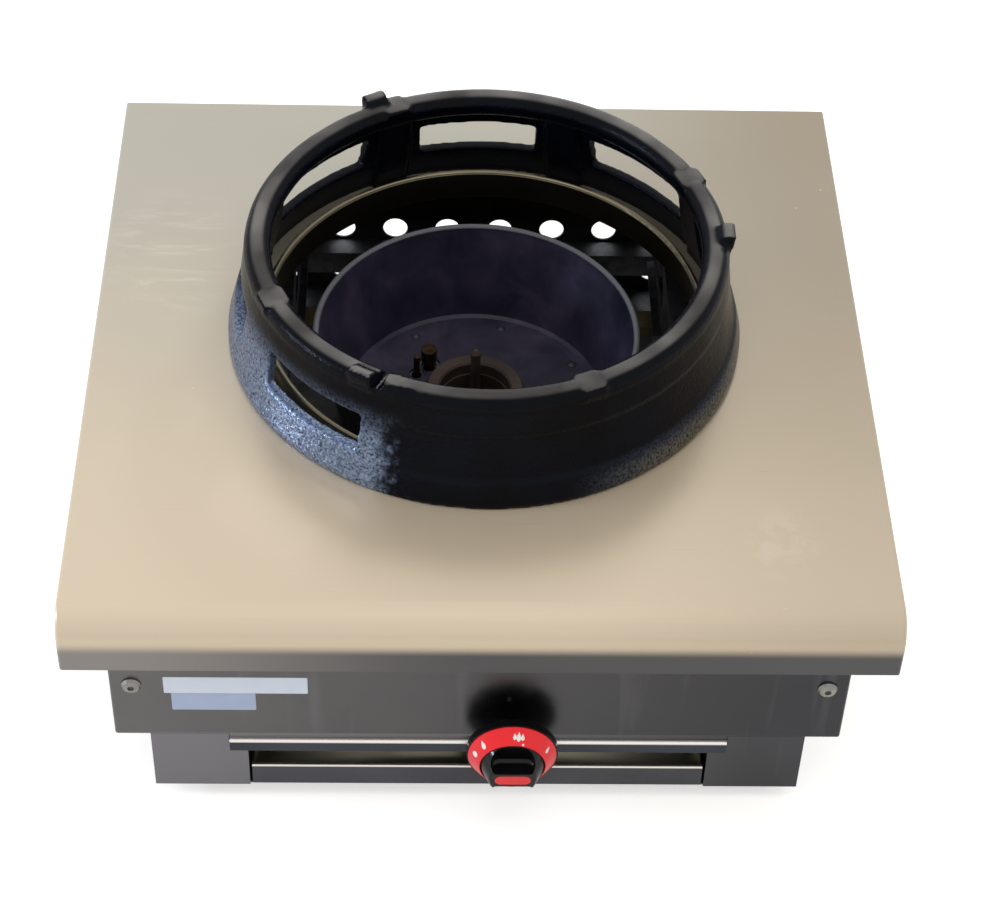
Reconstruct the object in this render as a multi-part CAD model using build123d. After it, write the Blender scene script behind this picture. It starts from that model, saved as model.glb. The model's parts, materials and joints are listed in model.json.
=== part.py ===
from build123d import *
import os
from math import cos, radians, sin

# Countertop gas wok range: a round-nosed steel worktop with one burner in a round opening, a loose
# cast ring that carries the wok, a folded body with a drip tray in front and one gas knob.
# Millimetres. +X is to the right, +Y to the back, +Z up. The origin is on the counter, under the
# middle of the outer box.

# ---- driving dimensions ----
worktop_width = 600.0
worktop_depth = 588.0
top_z = 210.0  # cooking surface above the counter
sheet = 1.5  # body panels
worktop_sheet = 2.0

nose_radius = 24.0  # rolled front edge of the worktop
nose_drop = 50.0  # how far the front edge hangs down
nose_return = 9.0
flange_drop = 30.0  # side and back edges of the worktop
edge_round = 2.5

ring_x, ring_y = 4.0, 18.0  # axis of the opening and the ring
burner_x = -2.0  # the burner and its bowl stand a little to the left of that axis
opening_radius = 170.5
collar_rise = 14.0
collar_depth = 10.0

panel_front = -284.0  # outer face of the front panels
back_face = 280.0  # outer face of the back panel
fascia_half = 268.0
body_half = 242.0
fascia_top = top_z - 30.0
fascia_bottom = top_z - 134.0
fascia_return = 40.0
body_bottom = top_z - 195.0
seam = 0.3

slot_half = 171.0  # gap between the front posts, filled by the drip tray
lip_half = 184.0
tab_bottom = top_z - 150.0  # lower edge of the control panel between the posts
lip_top = top_z - 138.0
lip_height = 11.0
lip_stand = 4.0
lip_bend = 3.0

ring_foot_radius = 200.0
ring_foot_width = 9.0
ring_tube_radius = 174.4  # centre line of the round rim
ring_tube_section = 10.5
ring_tube_height = 84.0
window_width = 95.0
window_low, window_high = 29.0, 59.5
window_corner = 3.0
window_angles = [46.5, 91.5, 136.5, 181.0, 225.8]
pillar_angles = [24.0, 69.0, 114.0, 158.8, 203.4, 248.0]
pillar_arc = 9.0
pillar_extra = 4.0
lug_angles = [0.0, 119.0, 240.0]
lug_width = 19.0
lug_notch_width, lug_notch_low = 5.0, 87.0  # gap beside the front lug
land_angles = [24.5, 114.5, 204.5, 294.5]  # flat seats across the round rim
land_length, land_height = 18.0, 93.0
land_slots = [1, -1, -1, 1]  # the end that has the slot, 1 for the counter-clockwise one
band_from, band_to = 250.0, 372.0  # plain sunk band on the closed front of the ring
band_low, band_high = 22.0, 62.0
band_sink = 1.5

plate_top = top_z - 90.0
plate_sheet = 2.0
plate_half_y = 86.0
plate_hole = 47.0

bowl_rim_radius = 126.3
bowl_rim_height = top_z - 7.5
bowl_floor_radius = 104.5
bowl_floor = plate_top
bowl_hole_radius = 44.0
bowl_wall = 2.0

cap_radius, cap_inner = 41.0, 28.5
cap_low, cap_high = top_z - 80.0, top_z - 69.0
cap_skirt = 4.5
cap_post_radius = 4.0
cap_post_top = top_z - 28.0
jet_count = 24

vent_radius = 10.8
vent_pitch = 46.4
vent_rows = {top_z - 124.0: 8, top_z - 172.0: 8}

rear_rail_top = top_z - 137.0
front_rail_top = top_z - 150.0
rear_rail_web = 23.0
front_rail_web = 18.0
rail_flange = 20.0
burner_rail_half = 158.0
burner_rail_top = top_z - 72.0
burner_rail_flange = 30.0

chamber_radius = 50.0
chamber_low, chamber_high = top_z - 142.0, top_z - 100.0
neck_radius = 40.0
well_radius = 27.0  # open middle of the burner
channel_inner, channel_outer = 31.0, 38.0  # ring-shaped gas way under the cap
ear_reach = 70.0
ear_bolt_radius = 63.0
ear_angles = [60.0, 180.0, 300.0]
mixer_z = top_z - 121.0
mixer_mouth = -165.0
mixer_bore = 13.0
pilot_x, pilot_y = -37.0, 47.0  # from the burner axis
probe_x, probe_y = -47.0, 36.0

knob_x = 24.0
knob_z = top_z - 130.0
knob_gap = 15.0  # free space between the panel and the back of the knob
hub_length = 8.0
knob_radius = 33.5
knob_rim = 6.0
skirt_radius = 32.4
skirt_inner = 24.5
skirt_depth = 11.0
grip_end = 30.0  # front of the grip from the back of the knob
grip_end_radius = 16.5
grip_thickness = 14.0
grip_wall = 3.4  # wall left on both sides of each finger recess
spindle_radius = 4.0
running_gap = 0.05

bolt_x, bolt_z = 252.0, top_z - 78.0

inlet_x = 200.0
inlet_z = top_z - 120.0
inlet_end = 329.0
inlet_thread_radius = 10.48  # half-inch pipe thread, major radius
inlet_neck_radius = 11.2  # plain part in the panel and the nut
inlet_nut_depth = 8.0
supply_radius = 7.0
supply_y = -245.0

tray_half = 169.0
tray_length = 510.0
tray_height = 21.0
tray_lift = 0.3

foot_x, foot_y = 212.0, 245.0
foot_radius = 18.0


# ---- helpers ----
def block(x0, x1, y0, y1, z0, z1):
    """A box between two corners."""
    return Pos((x0 + x1) / 2, (y0 + y1) / 2, (z0 + z1) / 2) * Box(x1 - x0, y1 - y0, z1 - z0)


def upright(radius, x, y, z0, z1):
    """A cylinder along Z."""
    return Pos(x, y, (z0 + z1) / 2) * Cylinder(radius, z1 - z0)


def lengthwise(radius, x, z, y0, y1):
    """A cylinder along Y."""
    return Pos(x, (y0 + y1) / 2, z) * Rot(90, 0, 0) * Cylinder(radius, y1 - y0)


def crosswise(radius, y, z, x0, x1):
    """A cylinder along X."""
    return Pos((x0 + x1) / 2, y, z) * Rot(0, 90, 0) * Cylinder(radius, x1 - x0)


def hexagon(across_flats, x, z, y0, y1):
    """A hexagonal prism along Y."""
    face = RegularPolygon(across_flats / 2, 6, major_radius=False)
    return Pos(x, y1, z) * Rot(90, 0, 0) * extrude(face, amount=y1 - y0)


def turned(*points):
    """A solid of revolution about Z from radius and height pairs."""
    return revolve(Plane.XZ * make_face(Polyline(*points, close=True)), Axis.Z)


def pipe(radius, points, bend):
    """A round bar along a path with equal bends."""
    path = FilletPolyline(*points, radius=bend)
    return sweep(Plane(path @ 0, z_dir=path % 0) * Circle(radius), path=path)


def mirrored(part):
    """The same piece on the other side of the body."""
    return part.mirror(Plane.YZ)


def on_ring(part):
    """Moves a piece modelled about the origin to the axis of the opening."""
    return Pos(ring_x, ring_y, 0) * part


def on_burner(part):
    """Moves a piece modelled about the origin to the burner axis."""
    return Pos(burner_x, ring_y, 0) * part


# ---- worktop and its opening ----
front_edge = -worktop_depth / 2
back_edge = worktop_depth / 2
half_width = worktop_width / 2


def nose_section(inset):
    """Side outline of the worktop: the outer skin, or the space under it for a positive inset."""
    hollow = 1.0 if inset else 0.0
    front, back, top = front_edge + inset, back_edge - inset, top_z - inset
    radius = nose_radius - inset
    low_back = top_z - flange_drop - hollow
    low_front = top_z - nose_drop + inset
    step = front_edge + nose_return + hollow
    arc_start = (front, top - radius)
    arc_end = (front + radius, top)
    arc_middle = (front + radius * (1 - cos(radians(45))), top - radius * (1 - sin(radians(45))))
    outline = Polyline(
        arc_end, (back, top), (back, low_back), (step, low_back),
        (step, low_front), (front, low_front), arc_start,
    )
    return make_face([*outline.edges(), ThreePointArc(arc_start, arc_middle, arc_end)])


def make_worktop():
    skin = extrude(Plane.YZ * nose_section(0.0), amount=half_width, both=True)
    rolled = [
        edge
        for edge in skin.edges()
        if abs(abs(edge.center().X) - half_width) < 0.01
        and (edge.center().Z > top_z - 0.01 or edge.center().Y < front_edge + nose_radius / 2)
        and edge.center().Z > top_z - nose_drop + 0.01
    ]
    skin = fillet(rolled, edge_round)
    reach = half_width - worktop_sheet
    space = extrude(Plane.YZ * nose_section(worktop_sheet), amount=reach, both=True)
    hole = upright(opening_radius, ring_x, ring_y, top_z - 10, top_z + 10)
    return skin - space - hole


def make_collar():
    """Spun ring in the opening, with a rolled upper edge and a flange that lies on the worktop."""
    outer, inner = opening_radius, opening_radius - 2.0
    low, high = top_z - collar_depth, top_z + collar_rise
    wall = turned(
        (inner, low), (outer, low), (outer, top_z), (outer + 7.0, top_z),
        (outer + 7.0, top_z + 1.2), (outer, top_z + 1.2), (outer, high), (inner, high),
    )
    rolled_edge = Pos(0, 0, high) * Torus(opening_radius + 0.6, 2.2)
    return on_ring(wall + rolled_edge)


def make_stiffener():
    """Hat section under the right side of the worktop."""
    under = top_z - worktop_sheet
    inner, outer, length = 182.0, 216.0, 262.0
    web_in, web_out, depth = inner + 7.0, outer - 7.0, 20.0
    hat = block(inner, outer, -length, length, under - sheet, under)
    hat += block(web_in, web_out, -length, length, under - depth, under)
    hat -= block(web_in + sheet, web_out - sheet, -length, length, under - depth + sheet, under)
    return hat


# ---- folded body ----
panel_back = panel_front + sheet
shell_inner = body_half - sheet


def make_fascia():
    """Control panel: a shallow folded box whose returns stand clear of the side panels."""
    rear = panel_front + fascia_return
    outer = block(-fascia_half, fascia_half, panel_front, rear, fascia_bottom, fascia_top)
    corners = [
        edge for edge in outer.edges().filter_by(Axis.Z) if edge.center().Y < panel_front + 1
    ]
    outer = fillet(corners, edge_round)
    outer += block(-lip_half, lip_half, panel_front, panel_back, tab_bottom, fascia_bottom + 1)
    inside = fascia_half - sheet
    outer -= block(-inside, inside, panel_back, rear, fascia_bottom + sheet, fascia_top - sheet)
    floor_cut = body_half + 1
    outer -= block(-floor_cut, floor_cut, panel_back, rear, fascia_bottom, fascia_bottom + sheet)
    outer -= block(-fascia_half, fascia_half, panel_back + 20, rear, fascia_top - sheet, fascia_top)
    for side in (-1, 1):
        edge_in, edge_out = sorted((side * (body_half - 4), side * inside))
        outer -= block(edge_in, edge_out, panel_back, rear, fascia_top - sheet, fascia_top)
        outer -= lengthwise(4.3, side * bolt_x, bolt_z, panel_front - 1, panel_back + 1)
        outer -= lengthwise(2.2, knob_x + side * 20, knob_z, panel_front - 1, panel_back + 1)
    outer -= lengthwise(6.0, knob_x, knob_z, panel_front - 1, panel_back + 1)
    return outer


def make_front_post():
    """Right post of the lower front, folded back along the tray."""
    top, notch = fascia_bottom - seam, tab_bottom - seam
    fold = slot_half + sheet
    post = block(slot_half, body_half, panel_front, panel_back, body_bottom, top)
    post -= block(slot_half - 1, lip_half + seam, panel_front - 1, panel_back + 1, notch, top + 1)
    post += block(slot_half, fold, panel_back, panel_back + 12, body_bottom + sheet, notch)
    return post


def make_slot_lip():
    """Angle over the tray slot that sheds drips and stands a little proud of the panel."""
    front, low = panel_front - lip_stand, lip_top - lip_height
    outside = block(-lip_half, lip_half, front, panel_front, low, lip_top)
    outside = fillet(outside.edges().filter_by(Axis.X).group_by(Axis.Z)[-1].sort_by(Axis.Y)[0], lip_bend)
    inside = block(-lip_half, lip_half, front + sheet, panel_front, low, lip_top - sheet)
    bend = inside.edges().filter_by(Axis.X).group_by(Axis.Z)[-1].sort_by(Axis.Y)[0]
    return outside - fillet(bend, lip_bend - sheet)


def make_side_panel():
    """Right side panel with a flange under the worktop and one on the base."""
    under = top_z - worktop_sheet
    panel = block(shell_inner, body_half, panel_back, back_face, body_bottom, under)
    panel -= block(shell_inner - 1, body_half + 1, panel_front, -262, top_z - nose_radius - 2, top_z)
    panel += block(shell_inner - 20, body_half, -262, 262, under - sheet, under)
    return panel


def make_back_panel():
    under = top_z - worktop_sheet
    inside, flange = back_face - sheet, shell_inner - 24
    panel = block(-shell_inner, shell_inner, inside, back_face, body_bottom + sheet, under)
    panel += block(-flange, flange, back_face - 16, back_face, under - sheet, under)
    for height, count in vent_rows.items():
        for index in range(count):
            x = (index - (count - 1) / 2) * vent_pitch
            panel -= lengthwise(vent_radius, x, height, back_face - 5, back_face + 1)
    panel -= lengthwise(inlet_neck_radius + 0.5, inlet_x, inlet_z, back_face - 5, back_face + 1)
    return panel


def make_base_plate():
    plate = block(-shell_inner, shell_inner, panel_back, back_face, body_bottom, body_bottom + sheet)
    slot = SlotOverall(70, 14)
    for x in (-150.0, -50.0, 50.0, 150.0):
        plate -= Pos(x, 228, body_bottom - 1) * extrude(slot, amount=5)
    for x in (-foot_x, foot_x):
        for y in (-foot_y, foot_y):
            plate -= upright(3.2, x, y, body_bottom - 1, body_bottom + 5)
    return plate


def make_fascia_bracket():
    """Right bracket between the side panel and the control panel."""
    low, high = bolt_z - 14, bolt_z + 14
    bracket = block(body_half, body_half + sheet, panel_back, panel_back + 26, low, high)
    bracket += block(body_half, fascia_half - 3, panel_back, panel_back + 2, low, high)
    bracket += lengthwise(6.5, bolt_x, bolt_z, panel_back + 2, panel_back + 8)
    bracket -= lengthwise(4.1, bolt_x, bolt_z, panel_back - 1, panel_back + 9)
    return bracket


def make_fascia_bolts():
    """Two button-head bolts with a hexagon socket."""
    head = turned((0, 0), (7.2, 0), (7.2, 1.0), (5.8, 3.0), (3.6, 3.9), (0, 3.9))
    head -= Pos(0, 0, 1.9) * extrude(RegularPolygon(2.3, 6, major_radius=False), amount=4)
    shank = Pos(0, 0, -6) * Cylinder(4.0, 12)
    bolt = Rot(90, 0, 0) * (head + shank)
    return Pos(-bolt_x, panel_front, bolt_z) * bolt + Pos(bolt_x, panel_front, bolt_z) * bolt


# ---- inner frame ----
def make_cross_rail(web_y, flange_to, rail_top, rail_web):
    """Angle across the body: the flange lies on top, the web hangs down."""
    web_to = web_y + sheet if flange_to > web_y else web_y - sheet
    low, high = sorted((web_y, flange_to))
    web_low, web_high = sorted((web_y, web_to))
    rail = block(-shell_inner, shell_inner, low, high, rail_top - sheet, rail_top)
    rail += block(-shell_inner, shell_inner, web_low, web_high, rail_top - rail_web, rail_top)
    return rail


def make_burner_rail(side):
    """Angle from front to back beside the burner, with a lip below and feet on the cross rails."""
    web = ring_x + side * burner_rail_half
    web_low, web_high = sorted((web, web - side * sheet))
    flange_low, flange_high = sorted((web - side * sheet, web + side * burner_rail_flange))
    lip_low, lip_high = sorted((web, web - side * 8))
    rail = block(web_low, web_high, -262, 276, rear_rail_top, burner_rail_top)
    rail += block(web_low, web_high, -262, -215, front_rail_top, rear_rail_top)
    rail += block(flange_low, flange_high, -235, 250, burner_rail_top - sheet, burner_rail_top)
    rail += block(lip_low, lip_high, -200, 250, rear_rail_top, rear_rail_top + sheet)
    foot_low, foot_high = sorted((web, web + side * 16))
    for y0, y1, seat in ((-262, -244, front_rail_top), (262, 276, rear_rail_top)):
        rail += block(foot_low, foot_high, y0, y1, seat, seat + sheet)
    for y in (-150.0, 190.0):
        cut = Pos(web, y, (rear_rail_top + burner_rail_top) / 2) * Rot(0, 90, 0)
        rail -= cut * extrude(SlotOverall(60, 26, rotation=90), amount=5, both=True)
    if side > 0:
        rail -= crosswise(supply_radius + 2, supply_y, inlet_z, web - 5, web + 5)
    return rail


def make_burner_plate():
    """Holed plate hung between the two burner rails, folded down along its four edges."""
    low = plate_top - plate_sheet
    half_x, half_y = burner_rail_half - sheet - 0.1, plate_half_y
    fold = low - 9.0
    plate = block(-half_x, half_x, -half_y, half_y, low, plate_top)
    plate += block(-half_x, half_x, -half_y, -half_y + plate_sheet, fold, low)
    plate += block(-half_x, half_x, half_y - plate_sheet, half_y, fold, low)
    plate += block(-half_x, -half_x + plate_sheet, -half_y, half_y, fold, low)
    plate += block(half_x - plate_sheet, half_x, -half_y, half_y, fold, low)
    plate = on_ring(plate)
    plate -= on_burner(upright(plate_hole, 0, 0, low - 1, plate_top + 1))
    for angle in ear_angles:
        x, y = ear_bolt_radius * cos(radians(angle)), ear_bolt_radius * sin(radians(angle))
        plate -= on_burner(upright(3.2, x, y, low - 1, plate_top + 1))
    plate -= on_burner(upright(6.5, pilot_x, pilot_y, low - 1, plate_top + 1))
    plate -= on_burner(upright(4.2, probe_x, probe_y, low - 1, plate_top + 1))
    return plate


# ---- burner, from the burner axis ----
def make_burner_body():
    """Cast chamber with three ears, an open well, a ring-shaped gas way and a mixing tube."""
    ear_top = plate_top - plate_sheet
    ear_low = ear_top - 6.0
    mouth = ring_y - mixer_mouth
    body = turned(
        (0, chamber_low), (chamber_radius - 8, chamber_low), (chamber_radius, chamber_low + 8),
        (chamber_radius, chamber_high - 4), (neck_radius + 3, chamber_high + 4),
        (neck_radius, chamber_high + 9), (neck_radius, cap_low), (0, cap_low),
    )
    along = Pos(0, 0, mixer_z) * Rot(90, 0, 0)
    body += along * turned(
        (0, 30), (20, 30), (15.5, 90), (15.5, 110), (19, 140), (26, mouth - 4), (26, mouth), (0, mouth),
    )
    for angle in ear_angles:
        ear = block(30, ear_reach, -9, 9, ear_low, ear_top)
        ear += block(30, chamber_radius + 6, -3, 3, ear_low - 18, ear_low)
        ear -= upright(3.2, ear_bolt_radius, 0, ear_low - 30, ear_top + 1)
        body += Rot(0, 0, angle) * ear
    channel = upright(channel_outer, 0, 0, chamber_low + 14, cap_low + 1)
    channel -= upright(channel_inner, 0, 0, chamber_low + 13, cap_low + 2)
    body -= channel
    body -= upright(well_radius, 0, 0, cap_low - 22, cap_low + 1)
    body -= along * turned(
        (0, 34), (mixer_bore, 34), (mixer_bore - 1, 110), (22, mouth + 1), (0, mouth + 1),
    )
    return on_burner(body)


def make_burner_screws():
    ear_low = plate_top - plate_sheet - 6.0
    group = None
    for angle in ear_angles:
        x, y = ear_bolt_radius * cos(radians(angle)), ear_bolt_radius * sin(radians(angle))
        shank = upright(3.0, x, y, ear_low, plate_top - 0.2)
        screw = shank + Pos(x, y, ear_low - 4) * extrude(
            RegularPolygon(5, 6, major_radius=False), amount=4
        )
        group = screw if group is None else group + screw
    return on_burner(group)


def make_burner_cap():
    """Ring-shaped cap with jet slots, a locating skirt, and a post on three arms to lift it by."""
    cap = turned(
        (cap_inner, cap_low), (cap_radius, cap_low), (cap_radius, cap_low + 5),
        (cap_radius - 3, cap_high), (cap_inner + 1.5, cap_high), (cap_inner, cap_high - 1.5),
    )
    cap += turned(
        (channel_inner + 0.3, cap_low - cap_skirt), (channel_outer - 0.3, cap_low - cap_skirt),
        (channel_outer - 0.3, cap_low), (channel_inner + 0.3, cap_low),
    )
    for index in range(3):
        cap += Rot(0, 0, 90 + 120 * index) * block(0, cap_inner + 1, -2, 2, cap_low + 1, cap_low + 5)
    cap += turned(
        (0, cap_low), (6, cap_low), (6, cap_low + 6), (cap_post_radius, cap_low + 10),
        (cap_post_radius, cap_post_top - 3), (cap_post_radius - 2.5, cap_post_top), (0, cap_post_top),
    )
    for index in range(jet_count):
        slot = block(cap_radius - 5, cap_radius + 2, -1, 1, cap_low + 1.5, cap_low + 4)
        cap -= Rot(0, 0, 360 / jet_count * index) * slot
    return on_burner(cap)


def make_bowl():
    """Spun bowl round the burner with a rolled rim."""
    rim, floor = bowl_rim_radius, bowl_floor_radius
    bowl = turned(
        (bowl_hole_radius, bowl_floor), (floor, bowl_floor), (floor + 4, bowl_floor + 3),
        (rim, bowl_rim_height), (rim - 2.2, bowl_rim_height), (floor + 1.5, bowl_floor + 4.5),
        (floor - 1, bowl_floor + bowl_wall), (bowl_hole_radius, bowl_floor + bowl_wall),
    )
    bowl += Pos(0, 0, bowl_rim_height) * Torus(rim, 2.5)
    bowl -= upright(9.0, pilot_x, pilot_y, bowl_floor - 1, bowl_floor + 5)
    bowl -= upright(6.0, probe_x, probe_y, bowl_floor - 1, bowl_floor + 5)
    return on_burner(bowl)


def make_pilot():
    """Pilot burner: a brass tube with a slotted hood."""
    pilot = upright(4.5, pilot_x, pilot_y, top_z - 112, top_z - 80)
    pilot += upright(6.0, pilot_x, pilot_y, top_z - 118, top_z - 108)
    pilot += upright(6.5, pilot_x, pilot_y, top_z - 83, top_z - 71)
    pilot -= block(pilot_x, pilot_x + 8, pilot_y - 2, pilot_y + 2, top_z - 79, top_z - 74)
    return on_burner(pilot)


def make_thermocouple():
    probe = upright(2.5, probe_x, probe_y, top_z - 112, top_z - 69)
    probe += upright(3.6, probe_x, probe_y, top_z - 112, top_z - 98)
    return on_burner(probe)


def make_pilot_bracket():
    """Folded strip under the burner plate that holds the pilot and the thermocouple."""
    under = plate_top - plate_sheet
    low = under - 16.0
    left, front, back = probe_x - 9, probe_y - 8, pilot_y + 10
    strip = block(left, pilot_x + 11, front, back, low, low + 2)
    strip -= upright(chamber_radius + 2.5, 0, 0, low - 1, low + 3)
    strip += block(left, left + 2, front, back, low, under)
    strip += block(left - 12, left + 2, front, back, under - 2, under)
    strip -= upright(4.5, pilot_x, pilot_y, low - 1, low + 3)
    strip -= upright(3.6, probe_x, probe_y, low - 1, low + 3)
    return on_burner(strip)


# ---- gas train ----
valve_front = -266.0
valve_back = -230.0
bonnet_seat = -276.0


def make_valve_body():
    body = block(knob_x - 15, knob_x + 15, valve_front, valve_back, knob_z - 13, knob_z + 20)
    body = fillet(body.edges().filter_by(Axis.Y), 4)
    body += crosswise(9.5, supply_y, inlet_z, knob_x + 10, knob_x + 26)
    body += lengthwise(7.5, knob_x, knob_z, valve_back - 2, valve_back + 8)
    body += lengthwise(4.5, knob_x - 10, knob_z + 14, valve_back - 2, valve_back + 7)
    body += crosswise(5.0, supply_y, knob_z - 4, knob_x - 24, knob_x - 10)
    body -= lengthwise(spindle_radius + running_gap, knob_x, knob_z, valve_front - 1, valve_front + 12)
    return body


def make_valve_bonnet():
    """Front flange of the valve, hollowed for the washer that the pushed knob carries in."""
    flange = Pos(knob_x, panel_back, knob_z) * Rot(-90, 0, 0) * extrude(SlotOverall(56, 18), amount=4.5)
    bonnet = flange + lengthwise(12.5, knob_x, knob_z, panel_back, valve_front)
    bonnet -= lengthwise(9.0, knob_x, knob_z, panel_back - 1, bonnet_seat)
    bonnet -= lengthwise(spindle_radius + running_gap, knob_x, knob_z, bonnet_seat - 1, valve_front + 1)
    for side in (-1, 1):
        bonnet -= lengthwise(1.9, knob_x + side * 20, knob_z, panel_back - 1, panel_back + 6)
    return bonnet


def make_valve_screws():
    group = None
    for side in (-1, 1):
        x = knob_x + side * 20
        screw = lengthwise(1.9, x, knob_z, panel_front, panel_back + 4.5)
        screw += lengthwise(3.6, x, knob_z, panel_front - 2.2, panel_front)
        group = screw if group is None else group + screw
    return group


def make_supply_pipe():
    points = [
        (inlet_x, 262, inlet_z), (inlet_x, supply_y, inlet_z), (knob_x + 26, supply_y, inlet_z),
    ]
    return pipe(supply_radius, points, 26)


def make_gas_inlet():
    """Bulkhead fitting: hexagon inside the back panel, pipe thread outside."""
    shoulder = back_face + inlet_nut_depth
    fitting = hexagon(27, inlet_x, inlet_z, 262, back_face - sheet)
    fitting += lengthwise(inlet_neck_radius, inlet_x, inlet_z, 270, shoulder)
    fitting += lengthwise(inlet_thread_radius, inlet_x, inlet_z, shoulder, inlet_end)
    return fitting - lengthwise(6.0, inlet_x, inlet_z, 290, inlet_end + 1)


def make_inlet_nut():
    nut = hexagon(30, inlet_x, inlet_z, back_face, back_face + inlet_nut_depth)
    return nut - lengthwise(inlet_neck_radius, inlet_x, inlet_z, back_face - 1, back_face + 9)


def make_injector_holder():
    """Brass elbow in front of the mixing tube, on a strap from the front cross rail."""
    holder = lengthwise(7.0, burner_x, mixer_z, mixer_mouth - 30, mixer_mouth - 12)
    strap_y = mixer_mouth - 24
    low = front_rail_top - 12
    holder += block(burner_x - 12, burner_x + 12, strap_y, strap_y + 2, low, mixer_z)
    holder += block(burner_x - 12, burner_x + 12, front_web, strap_y + 2, low - 2, low)
    return holder


def make_injector():
    nozzle = hexagon(11, burner_x, mixer_z, mixer_mouth - 12, mixer_mouth - 6)
    nozzle += lengthwise(3.5, burner_x, mixer_z, mixer_mouth - 6, mixer_mouth + 4)
    return nozzle - lengthwise(0.8, burner_x, mixer_z, mixer_mouth, mixer_mouth + 5)


def make_burner_pipe():
    start, end = valve_back + 8, mixer_mouth - 30
    points = [
        (knob_x, start, knob_z), (knob_x, start + 9, knob_z),
        (burner_x, end - 8, mixer_z), (burner_x, end, mixer_z),
    ]
    return pipe(4.0, points, 5)


def make_pilot_tube():
    x, y = burner_x + pilot_x, ring_y + pilot_y
    low = knob_z - 4
    points = [
        (x, y, top_z - 118), (x, y, low), (-72, 40, low), (-72, -205, low),
        (-58, supply_y, low), (knob_x - 24, supply_y, low),
    ]
    return pipe(2.0, points, 6)


def make_thermocouple_lead():
    x, y = burner_x + probe_x, ring_y + probe_y
    low = top_z - 126.0
    points = [
        (x, y, top_z - 112), (x, y, low), (-84, 30, low), (-84, -212, low),
        (knob_x - 10, -212, knob_z + 14), (knob_x - 10, valve_back + 7, knob_z + 14),
    ]
    return pipe(1.5, points, 4)


# ---- knob ----
knob_back = panel_front - knob_gap
grip_front = knob_back - grip_end


def about_knob(*points):
    """A solid of revolution about the knob axis from radius and distance in front of the panel."""
    return Pos(knob_x, panel_front, knob_z) * Rot(90, 0, 0) * turned(*points)


def finger_recess():
    """Hollow over the grip, narrower to the front, with round inner corners."""
    root, front = knob_back - knob_rim - skirt_depth, grip_front - 5
    wide = skirt_inner - 1.4 - grip_wall - 1.0
    narrow = grip_end_radius - grip_wall
    outline = make_face(Polyline((-wide, root), (wide, root), (narrow, front), (-narrow, front), close=True))
    recess = Pos(0, 0, grip_thickness / 2) * extrude(outline, amount=40)
    recess = fillet(recess.edges().filter_by(Axis.Z).group_by(Axis.Y)[-1], 7)
    floor = recess.edges().group_by(Axis.Z)[0]
    return fillet([edge for edge in floor if edge.center().Y > front + 1], 3)


def make_knob_body():
    rim, cone = knob_gap + knob_rim, knob_gap + knob_rim + skirt_depth
    end = knob_gap + grip_end
    body = about_knob(
        (0, knob_gap - hub_length), (10, knob_gap - hub_length), (10, knob_gap), (knob_radius, knob_gap),
        (knob_radius, rim), (skirt_inner - 0.6, rim), (skirt_inner - 0.6, cone - 1),
        (skirt_inner - 1.4, cone), (grip_end_radius + 1.2, end - 1.2), (grip_end_radius, end), (0, end),
    )
    recess = finger_recess()
    body -= Pos(knob_x, 0, knob_z) * (recess + mirror(recess, Plane.XY))
    inlay = extrude(SlotOverall(26.2, 9.4), amount=1.2)
    body -= Pos(knob_x, grip_front, knob_z) * Rot(-90, 0, 0) * inlay
    body -= lengthwise(spindle_radius, knob_x, knob_z, grip_front + 8, knob_back + hub_length + 1)
    return body


def make_knob_skirt():
    rim, cone = knob_gap + knob_rim, knob_gap + knob_rim + skirt_depth
    inner = skirt_inner - 0.6
    return about_knob(
        (inner, rim), (skirt_radius, rim), (skirt_radius, rim + 0.8), (skirt_inner, cone), (inner, cone),
    )


def make_knob_inlay():
    inlay = extrude(SlotOverall(26.2, 9.4), amount=1.2)
    return Pos(knob_x, grip_front, knob_z) * Rot(-90, 0, 0) * inlay


def make_spindle():
    spindle = lengthwise(spindle_radius, knob_x, knob_z, grip_front + 8, valve_front + 6)
    groove = lengthwise(6, knob_x, knob_z, washer_front, washer_back)
    groove -= lengthwise(3.0, knob_x, knob_z, washer_front - 1, washer_back + 1)
    return spindle - groove


washer_front, washer_back = panel_back + 0.6, panel_back + 2.6


def make_thrust_washer():
    """Washer that does not turn: it sits in the spindle's groove and moves in with the knob."""
    washer = lengthwise(8.5, knob_x, knob_z, washer_front + 0.1, washer_back - 0.1)
    return washer - lengthwise(3.0 + running_gap, knob_x, knob_z, washer_front - 1, washer_back + 1)


# ---- drip tray, feet ----
tray_floor = body_bottom + sheet + tray_lift


def make_tray():
    """Folded tray with a hemmed front that is also its pull."""
    front, rear = panel_front, panel_front + tray_length
    pan = block(-tray_half, tray_half, front, rear, tray_floor, tray_floor + tray_height)
    pan = fillet(pan.edges().filter_by(Axis.X).group_by(Axis.Z)[-1].sort_by(Axis.Y)[0], 1.9)
    inside = block(
        -tray_half + sheet, tray_half - sheet, front + sheet, rear - sheet,
        tray_floor + sheet, tray_floor + tray_height + 1,
    )
    hem = crosswise(2.0, front + 2.0, tray_floor + tray_height - 2, -tray_half + sheet, tray_half - sheet)
    return pan - inside + hem


def make_runner():
    """Right guide of the tray, an angle on the base plate."""
    floor = body_bottom + sheet
    inner = tray_half + 2.0
    runner = block(inner, inner + sheet, panel_back + 12, 190, floor, floor + 18)
    return runner + block(inner, inner + 16, panel_back + 12, 190, floor, floor + sheet)


def make_feet():
    """Four rubber feet, wider at the floor."""
    foot = turned(
        (0, 0), (foot_radius - 1.5, 0), (foot_radius, 1.5), (foot_radius, 4),
        (foot_radius - 3.5, body_bottom), (3.2, body_bottom), (3.2, 6), (0, 6),
    )
    group = None
    for x in (-foot_x, foot_x):
        for y in (-foot_y, foot_y):
            placed = Pos(x, y, 0) * foot
            group = placed if group is None else group + placed
    return group


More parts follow.
